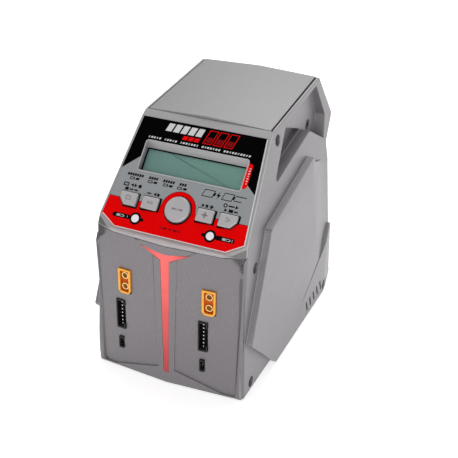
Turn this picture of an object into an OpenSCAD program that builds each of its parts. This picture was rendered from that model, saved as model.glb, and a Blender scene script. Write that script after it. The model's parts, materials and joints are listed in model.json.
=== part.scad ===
// Two-channel balance charger for model batteries, with its mains supply in one upright case.
// Millimetres, +Z up, +Y to the rear, the origin in the middle of the face it rests on.

/* [Case] */
// Depth from the front ridge to the rear edge
body_d = 154; // [152:0.5:156]
// Width of the plain sides at the bottom
base_w = 96.6; // [96:0.1:97.4]
// Width of the plain sides at shoulder height
shoulder_w = 92.8; // [92.2:0.1:93.4]
// Height of the shoulder, where the sides start to lean in more
shoulder_h = 95; // [94:0.5:96]
// Width of the sides at the top edge
top_w = 79.2; // [78.6:0.1:79.8]
// Height of the sides' top edge at the rear
top_h = 152; // [151.5:0.1:152.5]
// Wall thickness of the mouldings
wall = 2.4; // [2.2:0.1:2.6]
// How far the raised side panels stand out
side_step = 4.3; // [4:0.1:4.6]
// Gap under the case, which the feet hold
foot_gap = 0.6; // [0.4:0.1:0.8]

/* [Front] */
// Angle of each front facet behind the centre ridge, in degrees
facet_angle = 4; // [3.8:0.1:4.2]
// Backward lean of the front, in degrees
front_lean = 2; // [1.8:0.1:2.2]
// Distance of each output column from the centre
column_x = 27; // [26.5:0.1:27.5]
// Height of the output sockets
output_z = 62.9; // [62:0.1:64]
// Height of the balance sockets
balance_z = 39.2; // [38.8:0.1:39.6]
// Height of the sensor sockets
sensor_z = 18.8; // [18:0.1:19.6]

/* [Control panel] */
// Slope of the control panel, in degrees
panel_slope = 45; // [44.8:0.1:45.2]
// Width of the display window
window_w = 64; // [63:0.5:65]
// Height of the display window along the slope
window_h = 18.3; // [18:0.1:18.6]
// Depth of the display well
window_depth = 4; // [3.8:0.1:4.2]
// Travel of the push buttons
button_travel = 0.8; // [0.5:0.1:0.8]
// Height of the button caps above the overlay
button_proud = 1.5; // [1.2:0.1:1.8]

/* [Fan] */
// Side of the square fan frame
fan_w = 50; // [48:1:50]
// Depth of the fan
fan_d = 15; // [14:0.5:15]
// Number of fan blades
fan_blades = 7; // [5:1:9]

/* [Hidden] */
$fn = 48;

front_y = -body_d / 2;
rear_y = body_d / 2;
facet_t = tan(facet_angle);
lean_t = tan(front_lean);
fit = 0.2;              // clearance round parts that drop into an opening
lip = 1.2;              // width of the covers' inner lips
cover_inner = wall + lip;
panel_top = [-20.5, 143.5];     // y and z of the overlay's top edge
overlay_t = 0.4;
plate_t = 2;            // plate of the bezel under the overlay
seam_y = -16.2;         // seam between the bezel and the top cover
ledge_z = 94.5;         // ledge between the front panel and the control panel
roof_rise = 1.8;        // centre ridge of the top cover
roof_angle = atan((top_h - 0.2 - 146.3) / (59 - seam_y));

silver = [0.60, 0.60, 0.61];
dark_grey = [0.30, 0.30, 0.31];
black = [0.10, 0.10, 0.11];
board_green = [0.08, 0.32, 0.18];
amber = [0.95, 0.60, 0.12];
gold = [0.85, 0.70, 0.35];
steel = [0.72, 0.73, 0.75];

// Outlines in y and z, seen from the right
cover_points = [[-71.2, foot_gap], [-70.2, 36], [-66, 80], [-63.6, 97.6], [-19.3, 142.6],
    [seam_y + 0.3, 144.6], [seam_y + 0.3, 146.35], [59.6, top_h - 0.2], [77.6, 122],
    [64.3, 107.4], [66, 90], [rear_y, foot_gap]];
cover_radii = [0, 30, 30, 6, 0, 0, 0, 3, 3, 5, 12, 2];
pocket_points = [[-21.5, 115.2], [2.4, 143.6], [53.8, 148.2], [65.2, 125.6], [60.6, 111.2],
    [37.7, 125.3]];
pocket_radii = [2.2, 4, 2, 2, 1.2, 3];
undercut_points = [[-20.2, 116], [1, 141.2], [36.6, 125.9]];
undercut_radii = [2, 3, 0];
step_points = [[-40, 98], [31.5, 111.3], [36, 106], [60, 97], [66, 84], [rear_y, foot_gap],
    [-32, foot_gap], [-68.5, 37]];
step_radii = [2, 1, 3, 6, 8, 2, 3, 2];
step_hollow_points = [[-35, 93], [24, 104], [33, 96], [36, 34], [-2, 14], [-32, 8], [-61, 37]];
crease = [[1.5, 12], [42, 31.3], [80, 49.4]];
hood_points = [[30, 149], [59.5, top_h - 0.3], [76.8, 122.2], [63.9, 107.2], [30, 107.2]];
hood_radii = [0, 3, 3, 0, 0];

// Screws of each side cover: y, z and the x of the seat under the head
cover_seats = [[-11.5, 139.2, 37.2], [-53.7, 80.2, 42.6], [-61, 5.6, 44.4], [54.6, 5.6, 45.4],
    [51, 122.9, 34.2]];
post_half = 31;         // half the length of the posts between the covers
post_d = 5;
boss_d = 9.4;
head_d = 5.6;
seat_d = 6.6;

// Keys: centre x and distance down the slope
key_row = 50.7;
outer_key = [10.7, 7.6];
inner_key = [10.1, 7.4];
outer_key_x = 31;
inner_key_x = 17.1;
channel_r = 7.5;
led_x = 23.3;
led_row = 61;
led_d = 4.6;
window_row = 23.45;
board_level = -10.6;    // top of the control board below the overlay

output_size = [8.1, 16];
balance_size = [5.75, 19.9];
sensor_size = [3, 8];
balance_shift = -3.7;   // the small sockets sit to the left of the output socket
sensor_shift = -4.2;
pin_pitch = 2.5;
bullet_pitch = 7.2;
socket_depth = 13;

fan_z = 72;
rear_panel_y = 59.6;
mains_x = -19;
supply_x = 22;
inlet_z = 24;
mains_size = [27, 20];
main_board_z = 10;

function half_width(z) = z < shoulder_h
    ? (base_w + (shoulder_w - base_w) * z / shoulder_h) / 2
    : (shoulder_w + (top_w - shoulder_w) * (z - shoulder_h) / (top_h - shoulder_h)) / 2;

// The points of an arc that rounds the corner b between a and c
function corner(a, b, c, r, n) = r <= 0 ? [b] : let (
    u = (a - b) / norm(a - b), v = (c - b) / norm(c - b), half = acos(u * v) / 2,
    centre = b + (u + v) / norm(u + v) * r / sin(half),
    s = b + u * r / tan(half) - centre, e = b + v * r / tan(half) - centre,
    start = atan2(s.y, s.x), turn = (atan2(e.y, e.x) - start + 540) % 360 - 180)
    [for (i = [0:n]) centre + r * [cos(start + turn * i / n), sin(start + turn * i / n)]];

function rounded(points, radii, n = 5) = let (count = len(points)) [for (i = [0:count - 1])
    each corner(points[(i + count - 1) % count], points[i], points[(i + 1) % count], radii[i], n)];

function edge_normal(a, b) = [b.y - a.y, a.x - b.x] / norm(b - a);

// A clockwise outline moved inward by d, or outward when d is negative
function inset(points, d) = let (count = len(points)) [for (i = [0:count - 1])
    let (n1 = edge_normal(points[(i + count - 1) % count], points[i]),
        n2 = edge_normal(points[i], points[(i + 1) % count]))
    points[i] + d * (n1 + n2) / (1 + n1 * n2)];

module side_extrude(x0, x1) {
    translate([x0, 0, 0]) rotate([90, 0, 90]) linear_extrude(x1 - x0) children();
}

module rear_extrude(y0, y1) {
    translate([0, y1, 0]) rotate([90, 0, 0]) linear_extrude(y1 - y0) children();
}

// Everything between the two leaning sides, moved outward by grow
module between_sides(grow = 0) {
    low = half_width(-3) + grow;
    mid = half_width(shoulder_h) + grow;
    high = half_width(160) + grow;
    rear_extrude(-90, 90)
        polygon([[-low, -3], [low, -3], [mid, shoulder_h], [high, 160], [-high, 160],
            [-mid, shoulder_h]]);
}

// The front's own frame: x across, y into the case, z up the leaning face
module front_frame() {
    translate([0, front_y, 0]) rotate([-front_lean, 0, 0]) children();
}

// The control panel's frame: x across, -y down the slope, z out of the panel
module panel_frame() {
    translate([0, panel_top.x, panel_top.y]) rotate([panel_slope, 0, 0]) children();
}

// Everything behind the V of the front, moved forward by grow
module behind_front(grow = 0) {
    front_frame() translate([0, -grow, -5]) linear_extrude(170)
        polygon([[-60, 60 * facet_t], [0, 0], [60, 60 * facet_t], [60, 175], [-60, 175]]);
}

// The side of a plane through three points that its normal (b - a) x (c - a) looks to,
// from start to end along that normal
module beyond_plane(a, b, c, start = 0, end = 60) {
    n = cross(b - a, c - a) / norm(cross(b - a, c - a));
    translate(a) rotate([0, acos(n.z), atan2(n.y, n.x)])
        translate([-120, -120, start]) cube([240, 240, end - start]);
}

// The cut at each upper front corner, or with a start below 0 the wall behind it
module corner_cuts(start = 0, end = 60) {
    for (side = [0, 1]) mirror([side, 0, 0])
        beyond_plane([35, -70.4, 95], [46.4, -71, 83], [45, -64.7, 99.5], start, end);
}

module both_sides(x) {
    for (side = [-1, 1]) translate([side * x, 0, 0]) children();
}

// ---- side covers ----
module cover_block() {
    intersection() {
        side_extrude(0, 60) polygon(rounded(cover_points, cover_radii));
        between_sides();
        behind_front();
    }
    raised_side();
}

module raised_side() {
    difference() {
        intersection() {
            side_extrude(30, 60) polygon(rounded(step_points, step_radii));
            between_sides(side_step);
        }
        intersection() {
            side_extrude(40, 60)
                polygon([crease[0], [1.5, 120], [90, 120], crease[2], crease[1]]);
            beyond_plane([half_width(111) + side_step, 31.5, 111],
                [half_width(31) + side_step, 41.5, 31], [half_width(73), 58.8, 73]);
        }
        intersection() {
            side_extrude(40, 60) polygon([crease[0], crease[1], crease[2], [90, -2], [1.5, -2]]);
            beyond_plane([half_width(38) + side_step, 57, 38],
                [half_width(0) + side_step, 54, 0], [half_width(0), 76.6, 0]);
        }
        difference() {
            side_extrude(40, 60) polygon([crease[0], crease[1] + [0, 1.3], crease[1] - [0, 0.3]]);
            between_sides(side_step - 0.7);
        }
    }
}

module cover_hollow() {
    intersection() {
        side_extrude(0, 60) polygon(rounded(inset(cover_points, wall), cover_radii));
        between_sides(-wall);
        behind_front(-wall);
    }
    intersection() {
        side_extrude(30, 60) polygon(rounded(step_hollow_points, [2, 2, 3, 3, 3, 2, 2]));
        between_sides(side_step - wall);
    }
}

module pocket_liner() {
    intersection() {
        side_extrude(31.2, 60) polygon(inset(pocket_points, -2));
        between_sides(-0.6);
        side_extrude(20, 60) polygon(inset(cover_points, 0.6));
    }
}

module screw_bosses() {
    intersection() {
        for (seat = cover_seats) side_extrude(post_half + 0.4, 60)
            translate([seat.x, seat.y]) circle(d = boss_d);
        union() {
            between_sides(-0.6);
            intersection() {
                side_extrude(30, 60) polygon(inset(step_points, 0.6));
                between_sides(side_step - 0.6);
            }
        }
        side_extrude(20, 60) polygon(inset(cover_points, 0.6));
    }
}

module cover_vents() {
    for (i = [0:4]) translate([40, 22 + i * 6.5, 4 + i * 0.3])
        rotate([20, 0, 0]) cube([20, 2, 8]);
}

module side_cover() {
    color(silver) difference() {
        union() {
            difference() {
                cover_block();
                cover_hollow();
                between_sides(-cover_inner);
            }
            pocket_liner();
            screw_bosses();
        }
        side_extrude(36.4, 60) polygon(rounded(pocket_points, pocket_radii));
        side_extrude(32.8, 60) polygon(rounded(undercut_points, undercut_radii));
        for (seat = cover_seats) {
            side_extrude(seat.z, 60) translate([seat.x, seat.y]) circle(d = seat_d);
            side_extrude(20, 60) translate([seat.x, seat.y]) circle(d = 3.4);
        }
        corner_cuts();
        cover_vents();
        roof_slab(0.8, 0.6);
        translate([0, 0, -9 + foot_gap]) cube([200, 200, 18], center = true);
        base_slab(fit);
    }
}

module right_side_cover() {
    side_cover();
}

module left_side_cover() {
    mirror([1, 0, 0]) side_cover();
}

module tie_posts() {
    color(dark_grey) for (seat = cover_seats) difference() {
        side_extrude(-post_half, post_half) translate([seat.x, seat.y]) circle(d = post_d);
        for (side = [0, 1]) mirror([side, 0, 0])
            side_extrude(post_half - 9, post_half + 1) translate([seat.x, seat.y]) circle(d = 3);
    }
}

module cover_screws() {
    color(steel) for (side = [0, 1], seat = cover_seats) mirror([side, 0, 0]) difference() {
        union() {
            side_extrude(seat.z, seat.z + 2) translate([seat.x, seat.y]) circle(d = head_d);
            side_extrude(post_half - 7, seat.z) translate([seat.x, seat.y]) circle(d = 2.8);
        }
        side_extrude(seat.z + 0.9, seat.z + 3) translate([seat.x, seat.y]) circle(d = 2.6, $fn = 6);
    }
}

// ---- front ----
module socket_places() {
    for (side = [-1, 1]) translate([side * column_x, 0, 0])
        rotate([0, 0, side * facet_angle]) translate([0, column_x * facet_t, 0]) children();
}

// The front panel's outer shape, with the part that wraps round each side
module front_block() {
    intersection() {
        side_extrude(-60, 60) polygon([[-90, foot_gap], [-90, ledge_z - 1.2],
            [-64.4, ledge_z - 1.2], [-66.2, 80], [-70.4, 36], [-71.4, foot_gap]]);
        between_sides();
        behind_front();
    }
}

// Shallow fields beside the centre spine, deepest near the bottom
module front_fields() {
    for (side = [0, 1]) mirror([side, 0, 0]) front_frame()
        rotate([0, 0, facet_angle]) rotate([0.5, 0, 0]) rear_extrude(-6, 0.95)
        polygon([[7.6, 86.5], [5.2, 10.3], [36, 1.8], [43.6, 1.8], [44.8, 100], [31, 100]]);
}

module front_panel() {
    color(silver) difference() {
        union() {
            difference() {
                front_block();
                intersection() {
                    behind_front(-wall);
                    between_sides(-wall);
                }
            }
            intersection() {
                front_block();
                corner_cuts(-wall, 0);
            }
        }
        front_fields();
        corner_cuts();
        light_bar_shape(fit / 2, -2);
        front_frame() socket_places() rear_extrude(-3, 8) {
            translate([0, output_z]) square(output_size + [fit, fit], center = true);
            translate([balance_shift, balance_z]) square(balance_size + [fit, fit], center = true);
            translate([sensor_shift, sensor_z]) square(sensor_size + [fit, fit], center = true);
        }
    }
}

module light_bar_shape(grow, sink) {
    intersection() {
        front_frame() rear_extrude(-6, 8)
            polygon(rounded([[-15.6, 90.2 + grow], [-4.5, 88.4 + grow], [0, 87.9 + grow],
                [4.5, 88.4 + grow], [15.6, 90.2 + grow], [2.7 + grow, 84 - grow],
                [1.5 + grow, 8.3 - grow], [-1.5 - grow, 8.3 - grow], [-2.7 - grow, 84 - grow]],
                [0, 8, 0, 8, 0, 0.6, 0, 0, 0.6]));
        front_frame() translate([0, 0, -2]) linear_extrude(120)
            polygon([[-20, 20 * facet_t + sink], [0, sink], [20, 20 * facet_t + sink],
                [20, 20 * facet_t + 3.4], [0, 3.4], [-20, 20 * facet_t + 3.4]]);
    }
}

module light_bar() {
    color([0.85, 0.12, 0.12]) light_bar_shape(0, 0.15);
}

// Housing of an output socket, about its own centre, opening to -y
module output_housing() {
    difference() {
        rear_extrude(-0.9, socket_depth) difference() {
            square(output_size, center = true);
            for (side = [-1, 1]) translate([side * output_size.x / 2, -output_size.y / 2])
                rotate(45) square(2.4, center = true);
        }
        rear_extrude(-2, 1.8) difference() {
            square(output_size - [2.2, 2.2], center = true);
            for (side = [-1, 1]) translate([side * output_size.x / 2, -output_size.y / 2])
                rotate(45) square(4.2, center = true);
        }
        for (side = [-1, 1]) rear_extrude(-2, socket_depth - 3)
            translate([0, side * bullet_pitch / 2]) circle(d = 4.6);
    }
}

module one_column(side) {
    front_frame() translate([side * column_x, 0, 0]) rotate([0, 0, side * facet_angle])
        translate([0, column_x * facet_t, 0]) children();
}

module left_output_socket() {
    color(amber) one_column(-1) translate([0, 0, output_z]) output_housing();
}

module right_output_socket() {
    color(amber) one_column(1) translate([0, 0, output_z]) output_housing();
}

module output_contacts() {
    color(gold) front_frame() socket_places() translate([0, 0, output_z])
        for (side = [-1, 1]) difference() {
            rear_extrude(0.9, socket_depth - 3) translate([0, side * bullet_pitch / 2])
                circle(d = 4.5);
            rear_extrude(0, socket_depth - 6) translate([0, side * bullet_pitch / 2])
                circle(d = 3.6);
        }
}

// A shrouded pin header, about its own centre, opening to -y
module header_housing(size) {
    difference() {
        rear_extrude(-0.3, 10) square(size, center = true);
        rear_extrude(-1, 6.6) square(size - [1.5, 1.8], center = true);
        rear_extrude(-1, 5) translate([size.x / 2, 0])
            square([2.4, size.y * 0.62], center = true);
    }
}

module left_balance_socket() {
    color(black) one_column(-1) translate([balance_shift, 0, balance_z])
        header_housing(balance_size);
}

module right_balance_socket() {
    color(black) one_column(1) translate([balance_shift, 0, balance_z])
        header_housing(balance_size);
}

module balance_pins() {
    color(steel) front_frame() socket_places() translate([balance_shift, 0, balance_z])
        for (i = [-3:3]) rear_extrude(1.6, 6.6)
            translate([0, i * pin_pitch]) square(0.7, center = true);
}

module left_sensor_socket() {
    color(black) one_column(-1) translate([sensor_shift, 0, sensor_z])
        header_housing(sensor_size);
}

module right_sensor_socket() {
    color(black) one_column(1) translate([sensor_shift, 0, sensor_z])
        header_housing(sensor_size);
}

module sensor_pins() {
    color(steel) front_frame() socket_places() translate([sensor_shift, 0, sensor_z])
        for (i = [-1:1]) rear_extrude(1.6, 6.6)
            translate([0, i * 2]) square(0.5, center = true);
}

module socket_board() {
    color(board_green) front_frame() difference() {
        rear_extrude(16.2, 17.8) translate([-40, 14]) square([80, 60]);
    }
}

// ---- control panel ----
// Outline of the overlay, shrunk by edge on every side
module overlay_outline(edge) {
    polygon([[-39.2 + edge, -edge], [39.2 - edge, -edge], [44.9 - edge, -62.3 + edge / 2],
        [34.9 - edge / 2, -68.4 + edge], [-34.9 + edge / 2, -68.4 + edge],
        [-44.9 + edge, -62.3 + edge / 2]]);
}

// Outline of an outer key; its lower outer corner is cut off
module outer_key_shape(grow = 0) {
    w = outer_key.x / 2 + grow;
    h = outer_key.y / 2 + grow;
    polygon([[-w, h], [w, h], [w, -h + 3.9], [w - 3.3, -h], [-w, -h]]);
}

module key_shapes(grow) {
    for (side = [0, 1]) mirror([side, 0]) {
        translate([outer_key_x, -key_row]) outer_key_shape(grow);
        translate([inner_key_x, -key_row]) square(inner_key + [2, 2] * grow, center = true);
        translate([led_x, -led_row]) circle(d = led_d + 0.2);
    }
    translate([0, -key_row]) circle(r = channel_r + grow);
}

// Outline of the display window, with small round corners
module window_outline() {
    w = window_w / 2;
    h = window_h / 2;
    translate([0, -window_row])
        polygon(rounded([[-w, -h], [-w, h], [w, h], [w, -h]], [1.2, 1.2, 1.2, 1.2]));
}

module panel_overlay() {
    color([0.75, 0.05, 0.05]) panel_frame() translate([0, 0, -overlay_t])
        linear_extrude(overlay_t) difference() {
            overlay_outline(0.2);
            window_outline();
            key_shapes(0.5);
        }
}

// The bezel's outer shape, with the ledge over the front panel
module bezel_block() {
    intersection() {
        side_extrude(-60, 60) polygon([[seam_y, 146.35], panel_top, [-69.5, ledge_z],
            [-90, ledge_z], [-90, ledge_z - 1], [-64.4, ledge_z - 1], [-63.8, 97.5],
            [-19.5, 142.5], [seam_y, 144.5]]);
        between_sides();
        behind_front();
    }
}

// The plate, well and rim that reach in between the covers
module bezel_core() {
    intersection() {
        side_extrude(-60, 60) polygon([[seam_y, 146], [-20.5, 143], [-69, 94.2],
            [-62.8, 94.2], [-19.4, 137.6], [seam_y, 140.8]]);
        between_sides(-cover_inner - fit);
    }
}

// The display well's upper wall leans back, so that the display can be read from above
module well_slope() {
    edge = -window_row + window_h / 2;
    panel_frame() side_extrude(-window_w / 2 - 0.5, window_w / 2 + 0.5)
        polygon([[edge + 0.5, -overlay_t], [edge, -overlay_t], [edge - 3.2, -window_depth],
            [edge + 0.5, -window_depth]]);
}

module control_bezel() {
    well = [window_w, window_h];
    color(silver) {
        bezel_body(well);
        well_slope();
    }
}

module bezel_body(well) {
    difference() {
        union() {
            difference() {
                union() {
                    bezel_block();
                    bezel_core();
                }
                intersection() {
                    panel_frame() translate([-60, -66.2, -14])
                        cube([120, 63, 14 - overlay_t - plate_t]);
                    between_sides(-cover_inner - 1.8);
                }
            }
            intersection() {
                bezel_block();
                corner_cuts(-1.6, 0);
            }
            panel_frame() translate([0, -window_row, -window_depth])
                linear_extrude(window_depth - overlay_t - plate_t + 0.1)
                square(well + [3.2, 3.2], center = true);
        }
        panel_frame() translate([0, 0, -overlay_t]) linear_extrude(2) overlay_outline(0.1);
        panel_frame() translate([0, 0, -12]) linear_extrude(14) window_outline();
        panel_frame() translate([0, 0, -8]) linear_extrude(10) key_shapes(0.35);
        corner_cuts();
    }
}

// A key: cap, retaining flange under the plate, and a stem to its switch
module key(stem_x = 0) {
    translate([0, 0, -3.6]) linear_extrude(3.6 + button_proud) children(0);
    translate([0, 0, -3.6]) linear_extrude(1) children(1);
    translate([stem_x - 2, -2, -6.2]) cube([4, 4, 2.6]);
}

module outer_key_at(side) {
    color(silver) panel_frame() translate([side * outer_key_x, -key_row, 0])
        mirror([side < 0 ? 1 : 0, 0, 0]) key() {
            outer_key_shape();
            square(outer_key + [2, 2], center = true);
        }
}

module inner_key_at(side) {
    color(silver) panel_frame() translate([side * inner_key_x, -key_row, 0]) key() {
        square(inner_key, center = true);
        square(inner_key + [2, 2], center = true);
    }
}

module select_button() {
    outer_key_at(-1);
}

module minus_button() {
    inner_key_at(-1);
}

module plus_button() {
    inner_key_at(1);
}

module enter_button() {
    outer_key_at(1);
}

module channel_button() {
    color(silver) panel_frame() translate([0, -key_row, 0]) difference() {
        key() {
            circle(r = channel_r);
            circle(r = channel_r + 1.2);
        }
        translate([0, 0, button_proud + 30 - 0.7]) sphere(r = 30, $fn = 96);
    }
}

module led_lens(side) {
    color([0.92, 0.93, 0.94]) panel_frame() translate([side * led_x, -led_row, 0])
        rotate_extrude() polygon([[0, -7.8], [led_d / 2, -7.8], [led_d / 2, 0.3],
            [led_d / 2 - 0.5, 0.7], [0, 0.9]]);
}

module left_led_lens() {
    led_lens(-1);
}

module right_led_lens() {
    led_lens(1);
}

module panel_plate(size, low, high) {
    panel_frame() translate([0, -window_row, low]) linear_extrude(high - low)
        square(size, center = true);
}

module display_lens() {
    color([0.36, 0.50, 0.47]) panel_plate([71, 24.6], -window_depth - 1.1, -window_depth - 0.1);
}

module display_module() {
    color(dark_grey) panel_plate([72, 26], -window_depth - 5.4, -window_depth - 1.2);
}

module display_board() {
    color(board_green) panel_plate([76, 33], -window_depth - 7.1, -window_depth - 5.5);
}

module control_board() {
    color(board_green) panel_frame() translate([-36, -64.6, board_level - 1.6])
        cube([72, 22, 1.6]);
}

module tact_switches() {
    color(black) panel_frame() for (x = [-outer_key_x, -inner_key_x, 0, inner_key_x, outer_key_x])
        translate([x, -key_row, board_level]) {
            translate([-3, -3, 0]) cube([6, 6, 2.6]);
            translate([0, 0, 2.6]) cylinder(d = 3.4, h = 0.7);
        }
}

module status_leds() {
    color("white") panel_frame() both_sides(led_x)
        translate([0, -led_row, board_level]) cylinder(d = 3, h = 2.5);
}

module ribbon_cable() {
    color(dark_grey) side_extrude(-12, 12)
        polygon([[-47.4, 98.8], [-46.6, 99.4], [-35, 84], [-33, 60], [-33, 11.7], [-34, 11.7],
            [-34, 60], [-36, 84]]);
}

// ---- top, rear and base ----
module roof_slab(gap, extra) {
    translate([0, seam_y, 146.3]) rotate([roof_angle, 0, 0]) intersection() {
        rear_extrude(-1, 82) polygon([[-45, -wall - gap], [-45, 0], [0, roof_rise], [45, 0],
            [45, -wall - gap]]);
        translate([0, 0, -10]) linear_extrude(20) polygon([[-38.4 - gap, 0.3 - gap],
            [38.4 + gap, 0.3 - gap], [37.3 + gap, 75.3 + extra], [-37.3 - gap, 75.3 + extra]]);
    }
}

module top_cover() {
    color(silver) difference() {
        roof_slab(0, 0);
        translate([0, seam_y, 146.3]) rotate([roof_angle, 0, 0]) rear_extrude(3, 72)
            polygon([[-33, -wall - 1], [-33, -wall + 0.4], [0, roof_rise - 2], [33, -wall + 0.4],
                [33, -wall - 1]]);
    }
}

module rear_hood() {
    color(silver) difference() {
        intersection() {
            side_extrude(-50, 50) polygon(rounded(hood_points, hood_radii));
            between_sides(-cover_inner - fit);
        }
        side_extrude(-50, 50) polygon(rounded(inset(hood_points, wall), hood_radii));
        for (side = [0, 1]) mirror([side, 0, 0])
            side_extrude(30.4, 60) polygon(inset(pocket_points, -2.3));
        translate([-60, 20, 90]) cube([120, 59.6 - 20, 62.5]);
        roof_slab(fit, 0);
    }
}

module rear_panel() {
    color(dark_grey) difference() {
        intersection() {
            translate([-50, rear_panel_y, 3.2]) cube([100, wall, 103.8]);
            between_sides(-wall - fit);
        }
        rear_extrude(50, 70) {
            translate([0, fan_z]) circle(d = fan_w - 4);
            for (x = [-1, 1], z = [-1, 1])
                translate([x * 20, fan_z + z * 20]) circle(d = 3.2);
            translate([mains_x, inlet_z]) square(mains_size + [fit, fit], center = true);
            translate([supply_x, inlet_z]) square([16 + fit, 8.1 + fit], center = true);
            for (side = [-1, 1], i = [-3:3])
                translate([side * 34.5, fan_z + i * 6]) square([9, 2.4], center = true);
        }
    }
}

module base_slab(grow = 0) {
    translate([0, 0, foot_gap - 1]) linear_extrude(wall + 1)
        polygon([[-44.5 - grow, -71.1], [0, -74.2], [44.5 + grow, -71.1], [44.5 + grow, 74 + grow],
            [-44.5 - grow, 74 + grow]]);
}

foot_places = [[-34, -56], [34, -56], [-34, 56], [34, 56]];
stand_places = [[-36, -40], [36, -40], [-36, 30], [36, 30]];

module base_plate() {
    color(dark_grey) difference() {
        union() {
            intersection() {
                base_slab();
                translate([-60, -80, foot_gap]) cube([120, 160, 20]);
            }
            for (place = stand_places) translate([place.x, place.y, foot_gap])
                cylinder(d = 7, h = main_board_z - foot_gap);
        }
        for (place = foot_places) translate([place.x, place.y, -1])
            cylinder(d = 12 + fit, h = 1 + foot_gap + 1.4);
        for (place = stand_places) translate([place.x, place.y, 3])
            cylinder(d = 2.6, h = 20);
        for (i = [-6:6]) translate([-15, i * 6 - 1.2, -5]) cube([30, 2.4, 20]);
    }
}

module rubber_feet() {
    color(black) for (place = foot_places) translate([place.x, place.y, 0])
        cylinder(d = 12, h = foot_gap + 1.4);
}

// ---- electronics ----
module main_board() {
    color(board_green) difference() {
        translate([-41, -46, main_board_z]) cube([82, 88, 1.6]);
        for (place = stand_places) translate([place.x, place.y, 0]) cylinder(d = 3.4, h = 40);
    }
}

module board_screws() {
    color(steel) for (place = stand_places) translate([place.x, place.y, 0]) {
        translate([0, 0, main_board_z + 1.6]) cylinder(d = 5.4, h = 2);
        translate([0, 0, 4.5]) cylinder(d = 2.5, h = main_board_z - 2.9);
    }
}

board_top = main_board_z + 1.6;

// Two E halves with the winding on the middle leg
module transformer_core() {
    color(dark_grey) translate([-16, 4, board_top + 1.5]) difference() {
        cube([32, 12, 32]);
        for (x = [5, 21]) translate([x, -1, 5]) cube([6, 14, 22]);
    }
}

module transformer_winding() {
    color([0.85, 0.68, 0.15]) translate([0, 10, board_top + 1.5 + 5.2]) difference() {
        translate([-10.8, -10.8, 0]) cube([21.6, 21.6, 21.6]);
        translate([-5.2, -6.2, -1]) cube([10.4, 12.4, 24]);
    }
}

module filter_capacitors() {
    color([0.12, 0.16, 0.30]) {
        translate([-28, -26, board_top]) cylinder(d = 18, h = 32);
        for (x = [22, 33]) translate([x, -25, board_top]) cylinder(d = 10, h = 18);
        for (x = [-16.6, 16.6]) translate([x, -37, board_top]) cylinder(d = 8, h = 14);
    }
}

module output_chokes() {
    color([0.72, 0.45, 0.20]) for (x = [-7, 13]) translate([x, -16, board_top + 9])
        rotate([90, 0, 0]) rotate_extrude() translate([6.4, 0]) circle(d = 5);
}

module heatsink(side) {
    color("gainsboro") translate([side * 33, 0, board_top]) {
        translate([-side * 5 - 1.5, -16, 0]) cube([3, 40, 36]);
        for (i = [0:6]) translate([side > 0 ? -4 : -5, -15 + i * 6, 0]) cube([9, 2, 36]);
    }
}

module left_heatsink() {
    heatsink(-1);
}

module right_heatsink() {
    heatsink(1);
}

module power_transistors() {
    color(black) for (side = [-1, 1], y = [-9, 4, 17])
        translate([side * 24.2 - 2.2, y - 5, board_top + 8]) cube([4.4, 10, 16]);
}

// ---- fan and rear connectors ----
fan_y = rear_panel_y - fan_d;
fan_pin_d = 4;

module fan_frame() {
    color(black) difference() {
        union() {
            difference() {
                rear_extrude(fan_y, rear_panel_y) translate([0, fan_z])
                    square(fan_w, center = true);
                rear_extrude(fan_y - 1, rear_panel_y + 1) translate([0, fan_z])
                    circle(d = fan_w - 3, $fn = 96);
            }
            rear_extrude(fan_y, fan_y + 2.5) translate([0, fan_z]) {
                circle(d = 20);
                for (a = [45:90:315]) rotate(a) translate([0, -1.5]) square([24, 3]);
            }
            rear_extrude(fan_y + 2.5, fan_y + 9) translate([0, fan_z]) circle(d = fan_pin_d);
        }
        for (x = [-1, 1], z = [-1, 1]) rear_extrude(fan_y - 1, rear_panel_y + 1)
            translate([x * 20, fan_z + z * 20]) circle(d = 3.4);
    }
}

module fan_rotor() {
    color(dark_grey) translate([0, fan_y + 8.6, fan_z]) difference() {
        union() {
            rotate([90, 0, 0]) cylinder(d = 20, h = 10.4, center = true);
            intersection() {
                for (i = [0:fan_blades - 1]) rotate([0, i * 360 / fan_blades, 0])
                    rotate([0, 0, 40]) translate([-0.7, -5.5, 8]) cube([1.4, 11, 15]);
                rotate([90, 0, 0]) cylinder(d = fan_w - 4.4, h = 9, center = true, $fn = 96);
            }
        }
        rotate([90, 0, 0]) translate([0, 0, 3.2]) cylinder(d = 18, h = 10);
        rotate([90, 0, 0]) translate([0, 0, -2]) cylinder(d = fan_pin_d + 0.1, h = 20);
    }
}

module fan_guard() {
    guard_y = rear_panel_y + wall;
    color(steel) {
        for (r = [8, 14, 20]) translate([0, guard_y + 1.4, fan_z]) rotate([90, 0, 0])
            rotate_extrude() translate([r, 0]) circle(d = 1.6, $fn = 16);
        for (a = [45, 135]) translate([0, guard_y + 0.8, fan_z]) rotate([0, a, 0])
            cube([1.4, 1.6, 51], center = true);
        for (x = [-1, 1], z = [-1, 1]) rear_extrude(guard_y, guard_y + 1.6)
            translate([x * 20, fan_z + z * 20]) difference() {
                circle(d = 7.4);
                circle(d = 3.2);
            }
    }
}

module fan_screws() {
    color(steel) for (x = [-1, 1], z = [-1, 1]) translate([x * 20, 0, fan_z + z * 20]) {
        rear_extrude(rear_panel_y + wall + 1.6, rear_panel_y + wall + 3.6) circle(d = 5.4);
        rear_extrude(fan_y + 1, rear_panel_y + wall + 1.6) circle(d = 2.8);
    }
}

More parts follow.
